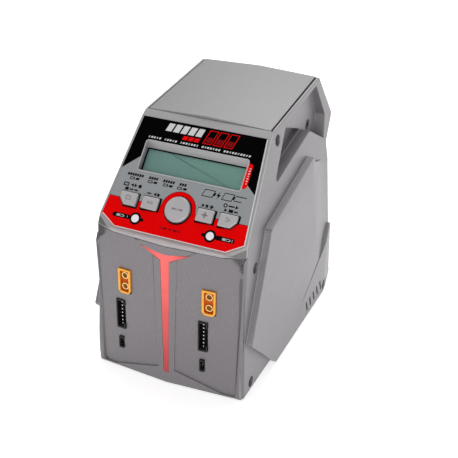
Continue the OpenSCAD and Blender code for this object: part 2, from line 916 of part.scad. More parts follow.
module mains_inlet() {
    face_y = rear_panel_y + wall;
    color(black) difference() {
        union() {
            rear_extrude(face_y, face_y + 2) translate([mains_x, inlet_z])
                square(mains_size + [5, 5], center = true);
            rear_extrude(face_y - 17, face_y) translate([mains_x, inlet_z])
                square(mains_size, center = true);
        }
        rear_extrude(face_y - 14.5, face_y + 3) translate([mains_x, inlet_z])
            polygon([[-12, 8], [12, 8], [12, -4.5], [8.5, -8], [-8.5, -8], [-12, -4.5]]);
        for (blade = mains_blades) rear_extrude(face_y - 20, face_y)
            translate([mains_x + blade.x, inlet_z + blade.y]) square([2, 4], center = true);
    }
}

mains_blades = [[-7, 1], [7, 1], [0, -4]];

module mains_pins() {
    face_y = rear_panel_y + wall;
    color(steel) for (blade = mains_blades) rear_extrude(face_y - 21, face_y - 4)
        translate([mains_x + blade.x, inlet_z + blade.y]) square([2, 4], center = true);
}

module supply_inlet() {
    face_y = rear_panel_y + wall;
    color(amber) difference() {
        union() {
            rear_extrude(face_y - 14, face_y + 1.5) translate([supply_x, inlet_z])
                square([16, 8.1], center = true);
            rear_extrude(face_y, face_y + 1) translate([supply_x, inlet_z])
                square([19, 11], center = true);
        }
        rear_extrude(face_y - 9, face_y + 3) translate([supply_x, inlet_z])
            square([13.6, 5.9], center = true);
        for (side = [-1, 1]) rear_extrude(face_y - 20, face_y)
            translate([supply_x + side * bullet_pitch / 2, inlet_z]) circle(d = 3.5);
    }
}

module supply_pins() {
    face_y = rear_panel_y + wall;
    color(gold) for (side = [-1, 1]) rear_extrude(face_y - 16, face_y - 1)
        translate([supply_x + side * bullet_pitch / 2, inlet_z]) circle(d = 3.5);
}

right_side_cover();
left_side_cover();
front_panel();
light_bar();
control_bezel();
panel_overlay();
top_cover();
rear_hood();
rear_panel();
base_plate();
rubber_feet();
tie_posts();
cover_screws();
select_button();
minus_button();
channel_button();
plus_button();
enter_button();
left_led_lens();
right_led_lens();
display_lens();
display_module();
display_board();
control_board();
tact_switches();
status_leds();
left_output_socket();
right_output_socket();
output_contacts();
left_balance_socket();
right_balance_socket();
balance_pins();
left_sensor_socket();
right_sensor_socket();
sensor_pins();
socket_board();
main_board();
board_screws();
transformer_core();
transformer_winding();
filter_capacitors();
output_chokes();
left_heatsink();
right_heatsink();
power_transistors();
fan_frame();
fan_rotor();
fan_guard();
fan_screws();
mains_inlet();
mains_pins();
supply_inlet();
supply_pins();
ribbon_cable();
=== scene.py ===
# %% [markdown]
# # A two-channel battery charger
# The charger's case, boards, sockets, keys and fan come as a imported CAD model, which is the
# fixed frame of this scene. Everything here is in metres and stands where the CAD puts it, so
# nothing has to be fitted by hand. The box of the CAD model is kept, because the finished
# model may not grow past it.

# %% Load the frame
import json
import math

import bmesh
import bpy
from mathutils import Matrix, Vector
from mathutils.bvhtree import BVHTree


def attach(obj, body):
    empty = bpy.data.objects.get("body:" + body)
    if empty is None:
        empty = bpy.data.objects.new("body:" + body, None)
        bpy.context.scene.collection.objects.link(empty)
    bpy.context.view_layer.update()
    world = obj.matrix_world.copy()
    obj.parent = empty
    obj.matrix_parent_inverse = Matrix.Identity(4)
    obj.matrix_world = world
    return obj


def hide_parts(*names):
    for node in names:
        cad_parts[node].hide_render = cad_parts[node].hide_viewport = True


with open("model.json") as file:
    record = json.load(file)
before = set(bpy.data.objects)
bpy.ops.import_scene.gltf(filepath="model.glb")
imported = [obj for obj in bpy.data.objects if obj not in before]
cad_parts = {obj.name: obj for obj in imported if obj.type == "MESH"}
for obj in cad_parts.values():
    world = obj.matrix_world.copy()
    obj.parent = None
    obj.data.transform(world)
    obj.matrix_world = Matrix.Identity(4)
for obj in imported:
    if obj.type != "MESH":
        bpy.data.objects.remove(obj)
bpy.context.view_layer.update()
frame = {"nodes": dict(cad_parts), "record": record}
nodes = frame["nodes"]
MM = 0.001

# %% [markdown]
# ## The camera
# The charger is looked at from its front right and from above, as something that stands on a
# table in front of the viewer. A camera looks along its own -Z axis, so its matrix is built
# from three directions: right, up and back. A long lens keeps the upright lines nearly
# parallel.

# %% Camera
CAMERA_AT = Vector((215.78, -464.44, 364.5)) * MM
TURN, TILT, ROLL = (math.radians(angle) for angle in (24.31, 30.28, 0.24))


def camera_matrix(place, turn, tilt, roll):
    ahead = Vector((-math.sin(turn) * math.cos(tilt), math.cos(turn) * math.cos(tilt),
                    -math.sin(tilt)))
    level = Vector((math.cos(turn), math.sin(turn), 0))
    upright = level.cross(ahead)
    right = level * math.cos(roll) + upright * math.sin(roll)
    up = upright * math.cos(roll) - level * math.sin(roll)
    axes = Matrix((right, up, -ahead)).transposed().to_4x4()
    return Matrix.Translation(place) @ axes


camera_data = bpy.data.cameras.new("camera")
camera_data.sensor_width = 36
camera_data.lens = 74.46
camera_data.clip_start = 0.01
camera = bpy.data.objects.new("camera", camera_data)
camera.matrix_world = camera_matrix(CAMERA_AT, TURN, TILT, ROLL)
bpy.context.scene.collection.objects.link(camera)
bpy.context.scene.camera = camera
print("camera at", [round(value, 3) for value in camera.location], "lens", camera_data.lens)

# %% [markdown]
# ## The room
# A pale floor and a soft surround give the light of a product table. The surround is bright
# behind and to the left and dim to the right, as in a studio with one large window, so that
# faces which lean to the right come out dark. A large lamp stands on the bright side, a low
# lamp opens the right side, and a wide weak one the front. The floor glows a little, so its
# shadows stay pale. The Standard view keeps the colours as they are set.

# %% Floor, world and lamps
bpy.context.scene.view_settings.view_transform = "Standard"


def lamp(name, place, aim, size, power):
    data = bpy.data.lights.new(name, "AREA")
    data.shape = "DISK"
    data.size = size
    data.energy = power
    light = bpy.data.objects.new(name, data)
    light.location = place
    light.rotation_euler = (Vector(aim) - Vector(place)).to_track_quat("-Z", "Y").to_euler()
    bpy.context.scene.collection.objects.link(light)
    return light


def floor_material():
    material = bpy.data.materials.new("floor_paper")
    material.use_nodes = True
    shader = material.node_tree.nodes["Principled BSDF"]
    shader.inputs["Base Color"].default_value = (0.92, 0.92, 0.92, 1)
    shader.inputs["Roughness"].default_value = 0.9
    shader.inputs["Specular IOR Level"].default_value = 0.1
    shader.inputs["Emission Color"].default_value = (1, 1, 1, 1)
    shader.inputs["Emission Strength"].default_value = 0.5
    return material


def surround():
    """A world that is bright behind and to the left, dim to the right, and white to look at."""
    world = bpy.data.worlds.new("surround")
    world.use_nodes = True
    nodes_, link = world.node_tree.nodes, world.node_tree.links.new
    toward = nodes_.new("ShaderNodeVectorMath")
    toward.operation = "DOT_PRODUCT"
    toward.inputs[1].default_value = (-0.45, 0.6, 0.2)
    link(nodes_.new("ShaderNodeTexCoord").outputs["Generated"], toward.inputs[0])
    level = nodes_.new("ShaderNodeMapRange")
    link(toward.outputs["Value"], level.inputs["Value"])
    for key, value in (("From Min", -0.55), ("From Max", 0.7), ("To Min", 0.28), ("To Max", 0.85)):
        level.inputs[key].default_value = value
    seen = nodes_.new("ShaderNodeMath")
    seen.operation = "MAXIMUM"
    link(level.outputs["Result"], seen.inputs[0])
    link(nodes_.new("ShaderNodeLightPath").outputs["Is Camera Ray"], seen.inputs[1])
    background = nodes_["Background"]
    background.inputs["Color"].default_value = (1, 1, 1, 1)
    link(seen.outputs[0], background.inputs["Strength"])
    return world


bpy.context.scene.world = surround()
bpy.ops.object.select_all(action="DESELECT")
bpy.ops.mesh.primitive_plane_add(size=8, location=(0, 0, 0))
floor = bpy.context.object
floor.name = "floor"
floor.data.materials.append(floor_material())
lamp("key_lamp", (-0.2, 0.8, 1.25), (0, 0, 0.08), 0.9, 8)
lamp("front_lamp", (0.5, -1.6, 0.75), (0, 0, 0.07), 1.1, 10)
lamp("side_lamp", (1.5, -0.1, 0.12), (0, 0, 0.07), 0.6, 3.5)

# %% [markdown]
# ## Node helpers
# A material is a small network. These helpers add a node, set its values by name and join
# sockets, so that each finish below reads as a short recipe. Colours are given as the
# screen shows them, from 0 to 255, and turned into the linear values that shaders use.


# %% Helpers for nodes
def shade(red, green, blue):
    def linear(value):
        value = value / 255
        return value / 12.92 if value <= 0.04045 else ((value + 0.055) / 1.055) ** 2.4
    return (linear(red), linear(green), linear(blue), 1)


def add(tree, kind, values=None, **settings):
    """A new node with its settings, and values for its inputs: numbers, or sockets to join."""
    node = tree.nodes.new("ShaderNode" + kind)
    for key, value in settings.items():
        setattr(node, key, value)
    for key, value in (values or {}).items():
        if isinstance(value, bpy.types.NodeSocket):
            tree.links.new(value, node.inputs[key])
        else:
            node.inputs[key].default_value = value
    return node


def maths(tree, operation, *values, clamp=False):
    node = add(tree, "Math", dict(enumerate(values)), operation=operation, use_clamp=clamp)
    return node.outputs[0]


def position(tree):
    """The x, y and z of a point on the object, in metres."""
    return add(tree, "SeparateXYZ", {0: add(tree, "TexCoord").outputs["Object"]}).outputs


def mix_colour(tree, factor, first, second, blend="MIX"):
    node = add(tree, "Mix", data_type="RGBA", blend_type=blend)
    for key, value in ((0, factor), (6, first), (7, second)):
        if isinstance(value, bpy.types.NodeSocket):
            tree.links.new(value, node.inputs[key])
        else:
            node.inputs[key].default_value = value
    return node.outputs[2]


def new_group(name, inputs, outputs):
    """A node group with float inputs that have default values, and named outputs."""
    group = bpy.data.node_groups.new(name, "ShaderNodeTree")
    for label, value in inputs.items():
        socket = group.interface.new_socket(label, in_out="INPUT", socket_type="NodeSocketFloat")
        socket.default_value = value
    for label, kind in outputs.items():
        group.interface.new_socket(label, in_out="OUTPUT", socket_type="NodeSocket" + kind)
    return group, group.nodes.new("NodeGroupInput").outputs, group.nodes.new("NodeGroupOutput").inputs


def place_group(tree, group, **values):
    node = tree.nodes.new("ShaderNodeGroup")
    node.node_tree = group
    for key, value in values.items():
        node.inputs[key.replace("_", " ")].default_value = value
    return node.outputs


print("helpers ready")

# %% [markdown]
# ## Grain
# Moulded and painted plastic is never quite smooth: the tool is spark-eroded and the paint
# dries in tiny grains. The grain is a fine noise on the object's own coordinates. The group
# gives a height for a bump and a fleck mask for the bright flakes of a metallic paint.

# %% Group: grain
grain, at, out = new_group("grain", {"Size": 0.25, "Fleck limit": 0.62},
                           {"Height": "Float", "Fleck": "Float"})
place = add(grain, "TexCoord").outputs["Object"]
scale = maths(grain, "DIVIDE", 1000, at["Size"])
noise = add(grain, "TexNoise", {"Vector": place, "Scale": scale, "Detail": 3.0, "Roughness": 0.6})
flecks = add(grain, "TexNoise", {"Vector": place, "Scale": scale, "Detail": 0.0})
over = maths(grain, "SUBTRACT", flecks.outputs[0], at["Fleck limit"])
grain.links.new(noise.outputs[0], out["Height"])
grain.links.new(maths(grain, "MULTIPLY", over, 6, clamp=True), out["Fleck"])
print("group", grain.name)

# %% [markdown]
# ## Handling and dust
# A used surface is cleaner where hands touch it and carries a film of dust where it faces up.
# A slow cloud pattern changes the gloss and colour by a few hundredths, and the dust mask
# looks at how far the surface faces upwards. Both are weak, because the charger is new.

# %% Group: handling
handling, at, out = new_group("handling", {"Patch size": 25.0, "Dust": 0.1},
                              {"Cloud": "Float", "Dust": "Float"})
place = add(handling, "TexCoord").outputs["Object"]
patch = maths(handling, "DIVIDE", 1000, at["Patch size"])
cloud = add(handling, "TexNoise", {"Vector": place, "Scale": patch, "Detail": 4.0})
motes = add(handling, "TexNoise", {"Vector": place, "Scale": 900.0, "Detail": 2.0})
facing = add(handling, "SeparateXYZ", {0: add(handling, "NewGeometry").outputs["Normal"]})
upward = maths(handling, "POWER", maths(handling, "MAXIMUM", facing.outputs[2], 0.0), 3.0)
film = maths(handling, "MULTIPLY", maths(handling, "MULTIPLY", upward, motes.outputs[0]), at["Dust"])
handling.links.new(cloud.outputs[0], out["Cloud"])
handling.links.new(film, out["Dust"])
print("group", handling.name)

# %% [markdown]
# ## Edge wear and painted edge highlight
# Paint thins and gets polished on outside edges. The Bevel node gives the direction that the
# surface would have if its edges were rounder, so the difference between that and the real
# direction is a thin band along each edge. A noise breaks the band into touches. On the paints
# the band is worn paint; on the amber nylon the same band is a painted highlight along the rims.

# %% Group: edges
edges, at, out = new_group("edges", {"Width": 0.5, "Amount": 0.5}, {"Edge": "Float"})
place = add(edges, "TexCoord").outputs["Object"]
soft = add(edges, "Bevel", {"Radius": maths(edges, "MULTIPLY", at["Width"], MM)}, samples=4)
normal = add(edges, "NewGeometry").outputs["Normal"]
same = add(edges, "VectorMath", {0: soft.outputs[0], 1: normal}, operation="DOT_PRODUCT")
band = maths(edges, "MULTIPLY", maths(edges, "SUBTRACT", 1.0, same.outputs["Value"]), 5, clamp=True)
touch = add(edges, "TexNoise", {"Vector": place, "Scale": 260.0, "Detail": 3.0}).outputs[0]
worn_and_lit = maths(edges, "MULTIPLY", maths(edges, "MULTIPLY", band, touch), at["Amount"], clamp=True)
edges.links.new(worn_and_lit, out["Edge"])
print("group", edges.name)

# %% [markdown]
# ## One recipe for moulded and painted finishes
# Nearly every finish here is a base colour that the cloud shifts a little, with flecks, dust
# and lighter edges on top, and a bump from the grain. The recipe is a function, and each
# finish gives its own colour, gloss, grain size and strengths. Values that are the same all
# over the surface are set on the shader's own sockets.


# %% Finish recipe
def finish(name, colour, roughness=0.5, metallic=0.0, size=0.25, depth=0.01, fleck=0.0,
           dust=0.06, wear_and_highlight=0.0, worn_and_lit=(0.80, 0.80, 0.80, 1), shift=0.06, coat=0.0, specular=0.5,
           tint=None):
    """A procedural finish. size is the grain's size and depth its height, in millimetres."""
    material = bpy.data.materials.new(name)
    material.use_nodes = True
    tree = material.node_tree
    shader = tree.nodes["Principled BSDF"]
    texture = place_group(tree, grain, Size=size)
    touched = place_group(tree, handling, Dust=dust)
    dark = tuple(value * (1 - shift) for value in colour[:3]) + (1,)
    light = tuple(min(1, value * (1 + shift)) for value in colour[:3]) + (1,)
    base = mix_colour(tree, touched["Cloud"], dark, light)
    if tint:
        base = tint(tree, base)
    if fleck:
        sparkle = maths(tree, "MULTIPLY", texture["Fleck"], fleck)
        base = mix_colour(tree, sparkle, base, (0.95, 0.95, 0.97, 1))
    base = mix_colour(tree, touched["Dust"], base, (0.62, 0.60, 0.57, 1))
    # Lighter edges: worn paint on the paints, a painted highlight on the amber nylon's rims.
    if wear_and_highlight:
        lighter_edge_band = place_group(tree, edges, Amount=wear_and_highlight)
        base = mix_colour(tree, lighter_edge_band["Edge"], base, worn_and_lit)
    tree.links.new(base, shader.inputs["Base Color"])
    rough = maths(tree, "MULTIPLY_ADD", touched["Cloud"], 0.12, roughness - 0.06)
    tree.links.new(maths(tree, "ADD", rough, touched["Dust"]), shader.inputs["Roughness"])
    bump = add(tree, "Bump", {"Height": texture["Height"], "Distance": depth * MM,
                              "Strength": 1.0})
    tree.links.new(bump.outputs[0], shader.inputs["Normal"])
    shader.inputs["Metallic"].default_value = metallic
    shader.inputs["Coat Weight"].default_value = coat
    shader.inputs["Coat Roughness"].default_value = 0.08
    shader.inputs["Specular IOR Level"].default_value = specular
    return material


print("recipe ready")

# %% [markdown]
# ## The grey paint of the case
# The mouldings are sprayed in one satin silver grey. In the light the top looks the lightest, the
# front the darkest, and the strip over the control panel lies between, so each of them gets its
# own copy of the grey, set lighter or darker as painted light and shade.
# The paint's small bright flecks come from the grain group.

# %% Case paint
CUT_FACING = (0.334, -0.871, 0.361)  # the way the right cut corner faces


def painted_shade_on_cuts(tree, base):
    """Painted shade: the two cut corners under the control panel are turned a darker grey than the
    rest, for the shade they lie in.
    """
    parts = add(tree, "SeparateXYZ", {0: add(tree, "NewGeometry").outputs["Normal"]})
    facing = maths(tree, "MULTIPLY", maths(tree, "ABSOLUTE", parts.outputs[0]), CUT_FACING[0])
    for axis in (1, 2):
        facing = maths(tree, "MULTIPLY_ADD", parts.outputs[axis], CUT_FACING[axis], facing)
    # Painted shade: faces turned the way the cut corners face are mixed towards a dark grey.
    cut = add(tree, "MapRange", {0: facing, 1: 0.965, 2: 0.985, 3: 0.0, 4: 0.72})
    return mix_colour(tree, cut.outputs[0], base, shade(30, 29, 30))


paint = {"roughness": 0.42, "metallic": 0.5, "size": 0.22, "depth": 0.012, "fleck": 0.16,
         "wear_and_highlight": 0.35, "shift": 0.04}
# Painted light and shade: these four copies of the one grey differ only so that each face comes out
# as bright as it looks in the light; the front and strip copies also carry the painted shade on the
# cut corners.
finishes = {
    "case_shell": finish("case_paint_shaded_copy", shade(134, 131, 134), **paint),
    "front_shell": finish("front_paint_shaded_copy", shade(119, 115, 118), tint=painted_shade_on_cuts, **paint),
    "bezel_shell": finish("bezel_paint_shaded_copy", shade(166, 164, 165), tint=painted_shade_on_cuts, **paint),
    "top_shell": finish("top_paint_shaded_copy", shade(126, 126, 127), **paint),
    "key_plastic": finish("key_paint", shade(180, 177, 179), roughness=0.36, metallic=0.3,
                          size=0.2, depth=0.008, fleck=0.12, wear_and_highlight=0.6, shift=0.03),
}
print("paints:", sorted(finishes))

# %% [markdown]
# ## Plastics, metals and boards
# The rest of the charger is black moulded plastic, amber nylon, powder-coated sheet, bare and
# plated metal, and green circuit boards. Each keeps the same recipe with its own gloss and
# grain: sheet has a coarse powder texture, pins are smooth, rubber is dull.

# %% Other finishes
finishes.update({
    "rear_sheet": finish("rear_powder", shade(52, 52, 54), 0.6, size=0.45, depth=0.05,
                         fleck=0.05, wear_and_highlight=0.3),
    "base_sheet": finish("base_powder", shade(48, 48, 50), 0.62, size=0.45, depth=0.05),
    "foot_rubber": finish("foot_rubber", shade(34, 34, 35), 0.85, size=0.3, depth=0.02,
                          dust=0.25, specular=0.2),
    "post_metal": finish("turned_metal", shade(196, 197, 200), 0.32, 1.0, size=0.4, depth=0.004),
    "screw_steel": finish("blackened_screw", shade(40, 39, 40), 0.36, 0.6, size=0.3,
                          depth=0.006, wear_and_highlight=0.5),
    "black_plastic": finish("black_moulding", shade(38, 38, 40), 0.5, size=0.3, depth=0.015),
    "socket_plastic": finish("header_moulding", shade(22, 21, 22), 0.4, size=0.3, depth=0.01,
                             specular=0.3),
    "fan_plastic": finish("fan_moulding", shade(36, 36, 38), 0.42, size=0.35, depth=0.012,
                          dust=0.12),
    "pin_metal": finish("tinned_pin", shade(205, 205, 204), 0.25, 1.0, size=0.3, depth=0.003),
    "contact_brass": finish("gold_contact", shade(240, 206, 140), 0.32, 0.8, size=0.3,
                            depth=0.003),
    "ferrite": finish("ferrite", shade(62, 61, 64), 0.6, size=0.35, depth=0.03),
    "capacitor": finish("capacitor_sleeve", shade(46, 56, 96), 0.3, size=1.2, depth=0.01,
                        coat=0.3),
    "heatsink_metal": finish("extruded_metal", shade(190, 191, 194), 0.38, 1.0, size=0.5,
                             depth=0.006),
    "guard_steel": finish("guard_wire", shade(200, 200, 202), 0.2, 1.0, size=0.6, depth=0.004),
})
print(len(finishes), "finishes so far")

# %% [markdown]
# ## The printed panel sheet
# The control panel carries one glossy printed sheet: black round the upper half of the
# display, grey below it, and red under the keys, with a red ring that rises round the middle
# key. Areas this plain are printed in the material. A point's place on the slope follows from
# its x and its height, and each area is a comparison of the two.

# %% Panel sheet material
PANEL_Y, PANEL_Z = -20.5, 143.5
SLOPE = math.sqrt(0.5)
KEY_ROW = 50.7


def panel_zones(tree):
    """Masks of the black and red areas and of the thin black lines, and of the white line along the
    right side, which is a painted highlight.
    """
    place = position(tree)
    u = maths(tree, "MULTIPLY", place[0], 1000)
    z = maths(tree, "MULTIPLY", place[2], 1000)
    v = maths(tree, "DIVIDE", maths(tree, "SUBTRACT", PANEL_Z, z), SLOPE)

    def below(edge, soft=0.06):
        """1 where edge is above 0, with a soft print edge."""
        return maths(tree, "ADD", maths(tree, "DIVIDE", edge, soft), 0.5, clamp=True)

    left = maths(tree, "MAXIMUM", maths(tree, "SUBTRACT", -33.0, u), 0.0)
    right = maths(tree, "MAXIMUM", maths(tree, "SUBTRACT", u, 35.2), 0.0)
    left_edge = maths(tree, "MULTIPLY_ADD", left, 0.94, 24.9)
    right_edge = maths(tree, "MULTIPLY_ADD", right, 0.82, 28.4)
    edge = maths(tree, "ADD", maths(tree, "MULTIPLY", maths(tree, "LESS_THAN", u, 0.0), left_edge),
                 maths(tree, "MULTIPLY", maths(tree, "GREATER_THAN", u, 0.0), right_edge))
    black = below(maths(tree, "SUBTRACT", edge, v))
    down = maths(tree, "SUBTRACT", v, KEY_ROW)
    away = maths(tree, "SQRT", maths(tree, "ADD", maths(tree, "MULTIPLY", u, u),
                                     maths(tree, "MULTIPLY", down, down)))
    ring = maths(tree, "SUBTRACT", 10.6, away)
    inside = maths(tree, "MAXIMUM", down, ring)
    red = below(inside)
    line = below(maths(tree, "SUBTRACT", 0.16, maths(tree, "ABSOLUTE", inside)))
    # Painted highlight: a fine white line along the sheet's right side.
    side = maths(tree, "SUBTRACT", maths(tree, "MULTIPLY_ADD", v, 0.0915, 38.5), u)
    white = below(maths(tree, "MULTIPLY", side, -1.0))
    return black, red, line, white


def sheet_colours(tree, base):
    black, red, line, white = panel_zones(tree)
    base = mix_colour(tree, red, base, shade(226, 0, 2))
    base = mix_colour(tree, line, base, shade(30, 4, 6))
    base = mix_colour(tree, black, base, shade(0, 0, 0))
    # Painted highlight: the white line along the right side.
    return mix_colour(tree, white, base, shade(215, 215, 216))


finishes["overlay"] = finish("printed_sheet_and_edge_highlight", shade(146, 149, 151), 0.42, size=0.18,
                             depth=0.004, specular=0.03, shift=0.02, dust=0.0,
                             tint=sheet_colours)
print("panel sheet printed")

# %% [markdown]
# ## Inks
# The small signs on the sheet, the lamp surrounds and the signs on the keys are separate thin
# prints, in white, black, red and grey ink. Real ink is a film of uneven gloss, so it uses the
# same recipe with a fine grain.

# %% Inks
inks = {
    name: finish(name + "_ink", colour, 0.45, size=0.15, depth=0.003, shift=0.03, dust=0.0,
                 specular=0.06)
    for name, colour in (("white", shade(204, 204, 205)), ("black", shade(3, 3, 4)),
                         ("red", shade(226, 2, 6)), ("dark_red", shade(120, 6, 12)),
                         ("grey", shade(108, 106, 108)))
}
print("inks:", sorted(inks))

# %% [markdown]
# ## The glowing bar
# The red bar in the middle of the front is a clear red moulding that glows. The glow is
# strongest near the top of the stem and fades down the stem and out along the two wings. It
# is an emission colour, and no lamp is modelled behind it.


# %% Light bar material
def light_bar_material():
    material = finish("red_light_bar", shade(172, 46, 49), 0.3, size=0.6, depth=0.01, shift=0.05,
                      dust=0.02)
    tree = material.node_tree
    place = position(tree)
    height = add(tree, "MapRange", {0: place[2], 1: 0.012, 2: 0.08, 3: 0.0, 4: 1.0})
    reach = add(tree, "MapRange", {0: maths(tree, "ABSOLUTE", place[0]), 1: 0.002,
                                   2: 0.015, 3: 1.0, 4: 0.25})
    glow = maths(tree, "MULTIPLY", height.outputs[0], reach.outputs[0])
    lamps = add(tree, "TexNoise", {"Vector": add(tree, "TexCoord").outputs["Object"],
                                   "Scale": 60.0})
    glow = maths(tree, "MULTIPLY", glow, maths(tree, "ADD", lamps.outputs[0], 0.55))
    colour = mix_colour(tree, glow, shade(96, 12, 14), shade(255, 120, 112))
    shader = tree.nodes["Principled BSDF"]
    tree.links.new(colour, shader.inputs["Emission Color"])
    shader.inputs["Emission Strength"].default_value = 0.55
    return material


finishes["light_bar"] = light_bar_material()
print("light bar glows")

# %% [markdown]
# ## Amber nylon
# The two battery sockets are moulded in yellow-orange nylon, which lets a little light in: its
# rims look light and its recesses deep orange. Subsurface scattering lets the light in, and the
# height of the grain keeps it from looking like glass. The deep orange of the recesses is
# painted shade, and the pale yellow on the rims' edges is a painted highlight.


# %% Amber nylon material
FRONT_Y = -0.077     # the front's foot, in metres
FRONT_FLARE = 0.0699  # how far the front falls back for each metre sideways
FRONT_LEAN = 0.0349   # and for each metre upwards


def painted_recess_shade(tree, base):
    """The rim stands proud of the front and keeps its yellow; the recess lies deeper and is turned
    orange as painted shade.
    """
    place = position(tree)
    flare = maths(tree, "MULTIPLY_ADD", maths(tree, "ABSOLUTE", place[0]), -FRONT_FLARE, -FRONT_Y)
    lean = maths(tree, "MULTIPLY_ADD", place[2], -FRONT_LEAN, flare)
    depth = maths(tree, "ADD", place[1], lean)
    # Painted shade: the further a point lies behind the front, the more it turns deep orange.
    deep = add(tree, "MapRange", {0: depth, 1: -0.0005, 2: 0.0008, 3: 0.0, 4: 1.0})
    return mix_colour(tree, deep.outputs[0], base, shade(206, 92, 0))


def let_light_in(material, weight, radius, scale):
    """Sets the subsurface scattering of a finish."""
    shader = material.node_tree.nodes["Principled BSDF"]
    for name, value in (("Weight", weight), ("Radius", radius), ("Scale", scale)):
        shader.inputs["Subsurface " + name].default_value = value
    return material


def amber_nylon():
    # Painted highlight: the edge band turns the rims' edges pale yellow. Painted shade: the recesses
    # turn deep orange.
    material = finish("amber_nylon", shade(250, 176, 60), 0.34, size=0.3, depth=0.01, shift=0.05,
                      dust=0.0, specular=0.25, wear_and_highlight=0.8, worn_and_lit=shade(255, 220, 130),
                      tint=painted_recess_shade)
    return let_light_in(material, 0.15, (1.0, 0.45, 0.12), 0.0012)


finishes["amber_plastic"] = amber_nylon()
print("amber nylon ready")

# %% [markdown]
# ## Lamp caps and the display glass
# The status lamps have milky caps that scatter light, so they look white when they are off.
# The display has a clear front pane over its grey-green panel. The pane is mostly see-through
# and keeps its own sharp reflections.


# %% Caps and glass
def milky_cap():
    material = finish("milky_cap", shade(232, 232, 235), 0.22, size=0.5, depth=0.004, shift=0.03,
                      dust=0.02)
    return let_light_in(material, 0.4, (1, 1, 1), 0.001)


def display_pane():
    material = finish("display_pane", shade(150, 186, 176), 0.08, size=2.0, depth=0.001,
                      shift=0.02, dust=0.02)
    tree = material.node_tree
    smear = place_group(tree, handling, Patch_size=12.0, Dust=0.0)
    alpha = maths(tree, "MULTIPLY_ADD", smear["Cloud"], 0.05, 0.10)
    tree.links.new(alpha, tree.nodes["Principled BSDF"].inputs["Alpha"])
    return material


finishes["led_lens"] = milky_cap()
finishes["display_glass"] = display_pane()
print("caps and glass ready")

# %% [markdown]
# ## The display panel
# A character display that is off is a plain grey-green panel in which two rows of cells can
# just be made out. Each cell is a slightly darker block on a fine grid. A sawtooth along the
# width and along the slope gives the grid, and the corner of the panel is a little bluer.


# %% Display panel material
def display_colours(tree, base):
    place = position(tree)
    across = maths(tree, "FRACT", maths(tree, "MULTIPLY_ADD", place[0], 1000 / 3.55, 0.5))
    along = maths(tree, "FRACT", maths(tree, "MULTIPLY_ADD", place[2], 1000 / 4.3, 0.1))
    cell = maths(tree, "MULTIPLY", maths(tree, "COMPARE", across, 0.5, 0.42),
                 maths(tree, "COMPARE", along, 0.5, 0.43))
    bluish = add(tree, "MapRange", {0: place[0], 1: 0.03, 2: -0.03, 3: 0.0, 4: 0.6})
    base = mix_colour(tree, bluish.outputs[0], base, shade(108, 144, 146))
    return mix_colour(tree, maths(tree, "MULTIPLY", cell, 0.045), base, shade(30, 52, 50))


display_panel = finish("display_panel", shade(112, 162, 148), 0.45, size=0.5, depth=0.002,
                       shift=0.03, dust=0.0, tint=display_colours)
print("display panel ready")

# %% [markdown]
# ## Boards, copper and the ribbon
# Inside the case are boards with green solder mask over copper tracks, windings of enamelled
# wire, and a flat cable of many fine wires. Their patterns are stripes: bands of a wave
# texture for the windings and the ribbon, and a brick pattern for the tracks.


# %% Boards and windings
def board_tracks(tree, base):
    place = add(tree, "TexCoord").outputs["Object"]
    tracks = add(tree, "TexBrick", {"Vector": place, "Scale": 160.0, "Mortar Size": 0.03})
    return mix_colour(tree, maths(tree, "MULTIPLY", tracks.outputs["Fac"], 0.35), base,
                      shade(70, 150, 90))


def wire_turns(tree, base):
    place = add(tree, "TexCoord").outputs["Object"]
    turns = add(tree, "TexWave", {"Vector": place, "Scale": 500.0, "Distortion": 0.4},
                bands_direction="Z")
    return mix_colour(tree, maths(tree, "MULTIPLY", turns.outputs[1], 0.5), base,
                      shade(96, 46, 20))


def cable_wires(tree, base):
    place = add(tree, "TexCoord").outputs["Object"]
    wires = add(tree, "TexWave", {"Vector": place, "Scale": 250.0}, bands_direction="X")
    return mix_colour(tree, maths(tree, "MULTIPLY", wires.outputs[1], 0.6), base,
                      shade(58, 58, 62))


finishes["circuit_board"] = finish("solder_mask", shade(26, 92, 54), 0.35, size=0.5, depth=0.01,
                                   coat=0.2, tint=board_tracks)
finishes["copper"] = finish("enamelled_wire", shade(196, 112, 56), 0.3, 0.85, size=0.4,
                            depth=0.01, tint=wire_turns)
finishes["ribbon"] = finish("flat_cable", shade(122, 122, 126), 0.55, size=0.4, depth=0.008,
                            tint=cable_wires)
print(len(finishes), "finishes in all")

# %% [markdown]
# ## Every CAD node gets its finish
# The record gives each node a material slot. The slot's finish is put on the node's own
# material slots, and the mesh is left as it is.

# %% Dress the CAD nodes
slot_of = {part["node"]: part["material_slot"] for part in frame["record"]["subparts"]}
body_of = {node: body for body, members in frame["record"]["behaviour"]["bodies"].items()
           for node in members}
for node, part in nodes.items():
    part.data.materials.clear()
    part.data.materials.append(finishes[slot_of[node]])
print("dressed", len(nodes), "nodes in", len(set(slot_of.values())), "slots")

# %% [markdown]
# ## Working by hand in code
# The operators of edit mode work on whatever is selected, so everything is
# deselected first and the wanted faces or edges are picked by place. These few helpers pick,
# place, finish and hand over a piece. A finished piece sits at the origin, unturned, with its
# place in its mesh.


# %% Helpers for modelling
def only(piece):
    if bpy.context.object and bpy.context.object.mode != "OBJECT":
        bpy.ops.object.mode_set(mode="OBJECT")
    bpy.ops.object.select_all(action="DESELECT")
    piece.select_set(True)
    bpy.context.view_layer.objects.active = piece


def edit(piece, select=None):
    """Edit mode on this piece, with all or nothing selected."""
    only(piece)
    bpy.ops.object.mode_set(mode="EDIT")
    bpy.ops.mesh.select_mode(type="FACE")
    bpy.ops.mesh.select_all(action=select or "DESELECT")


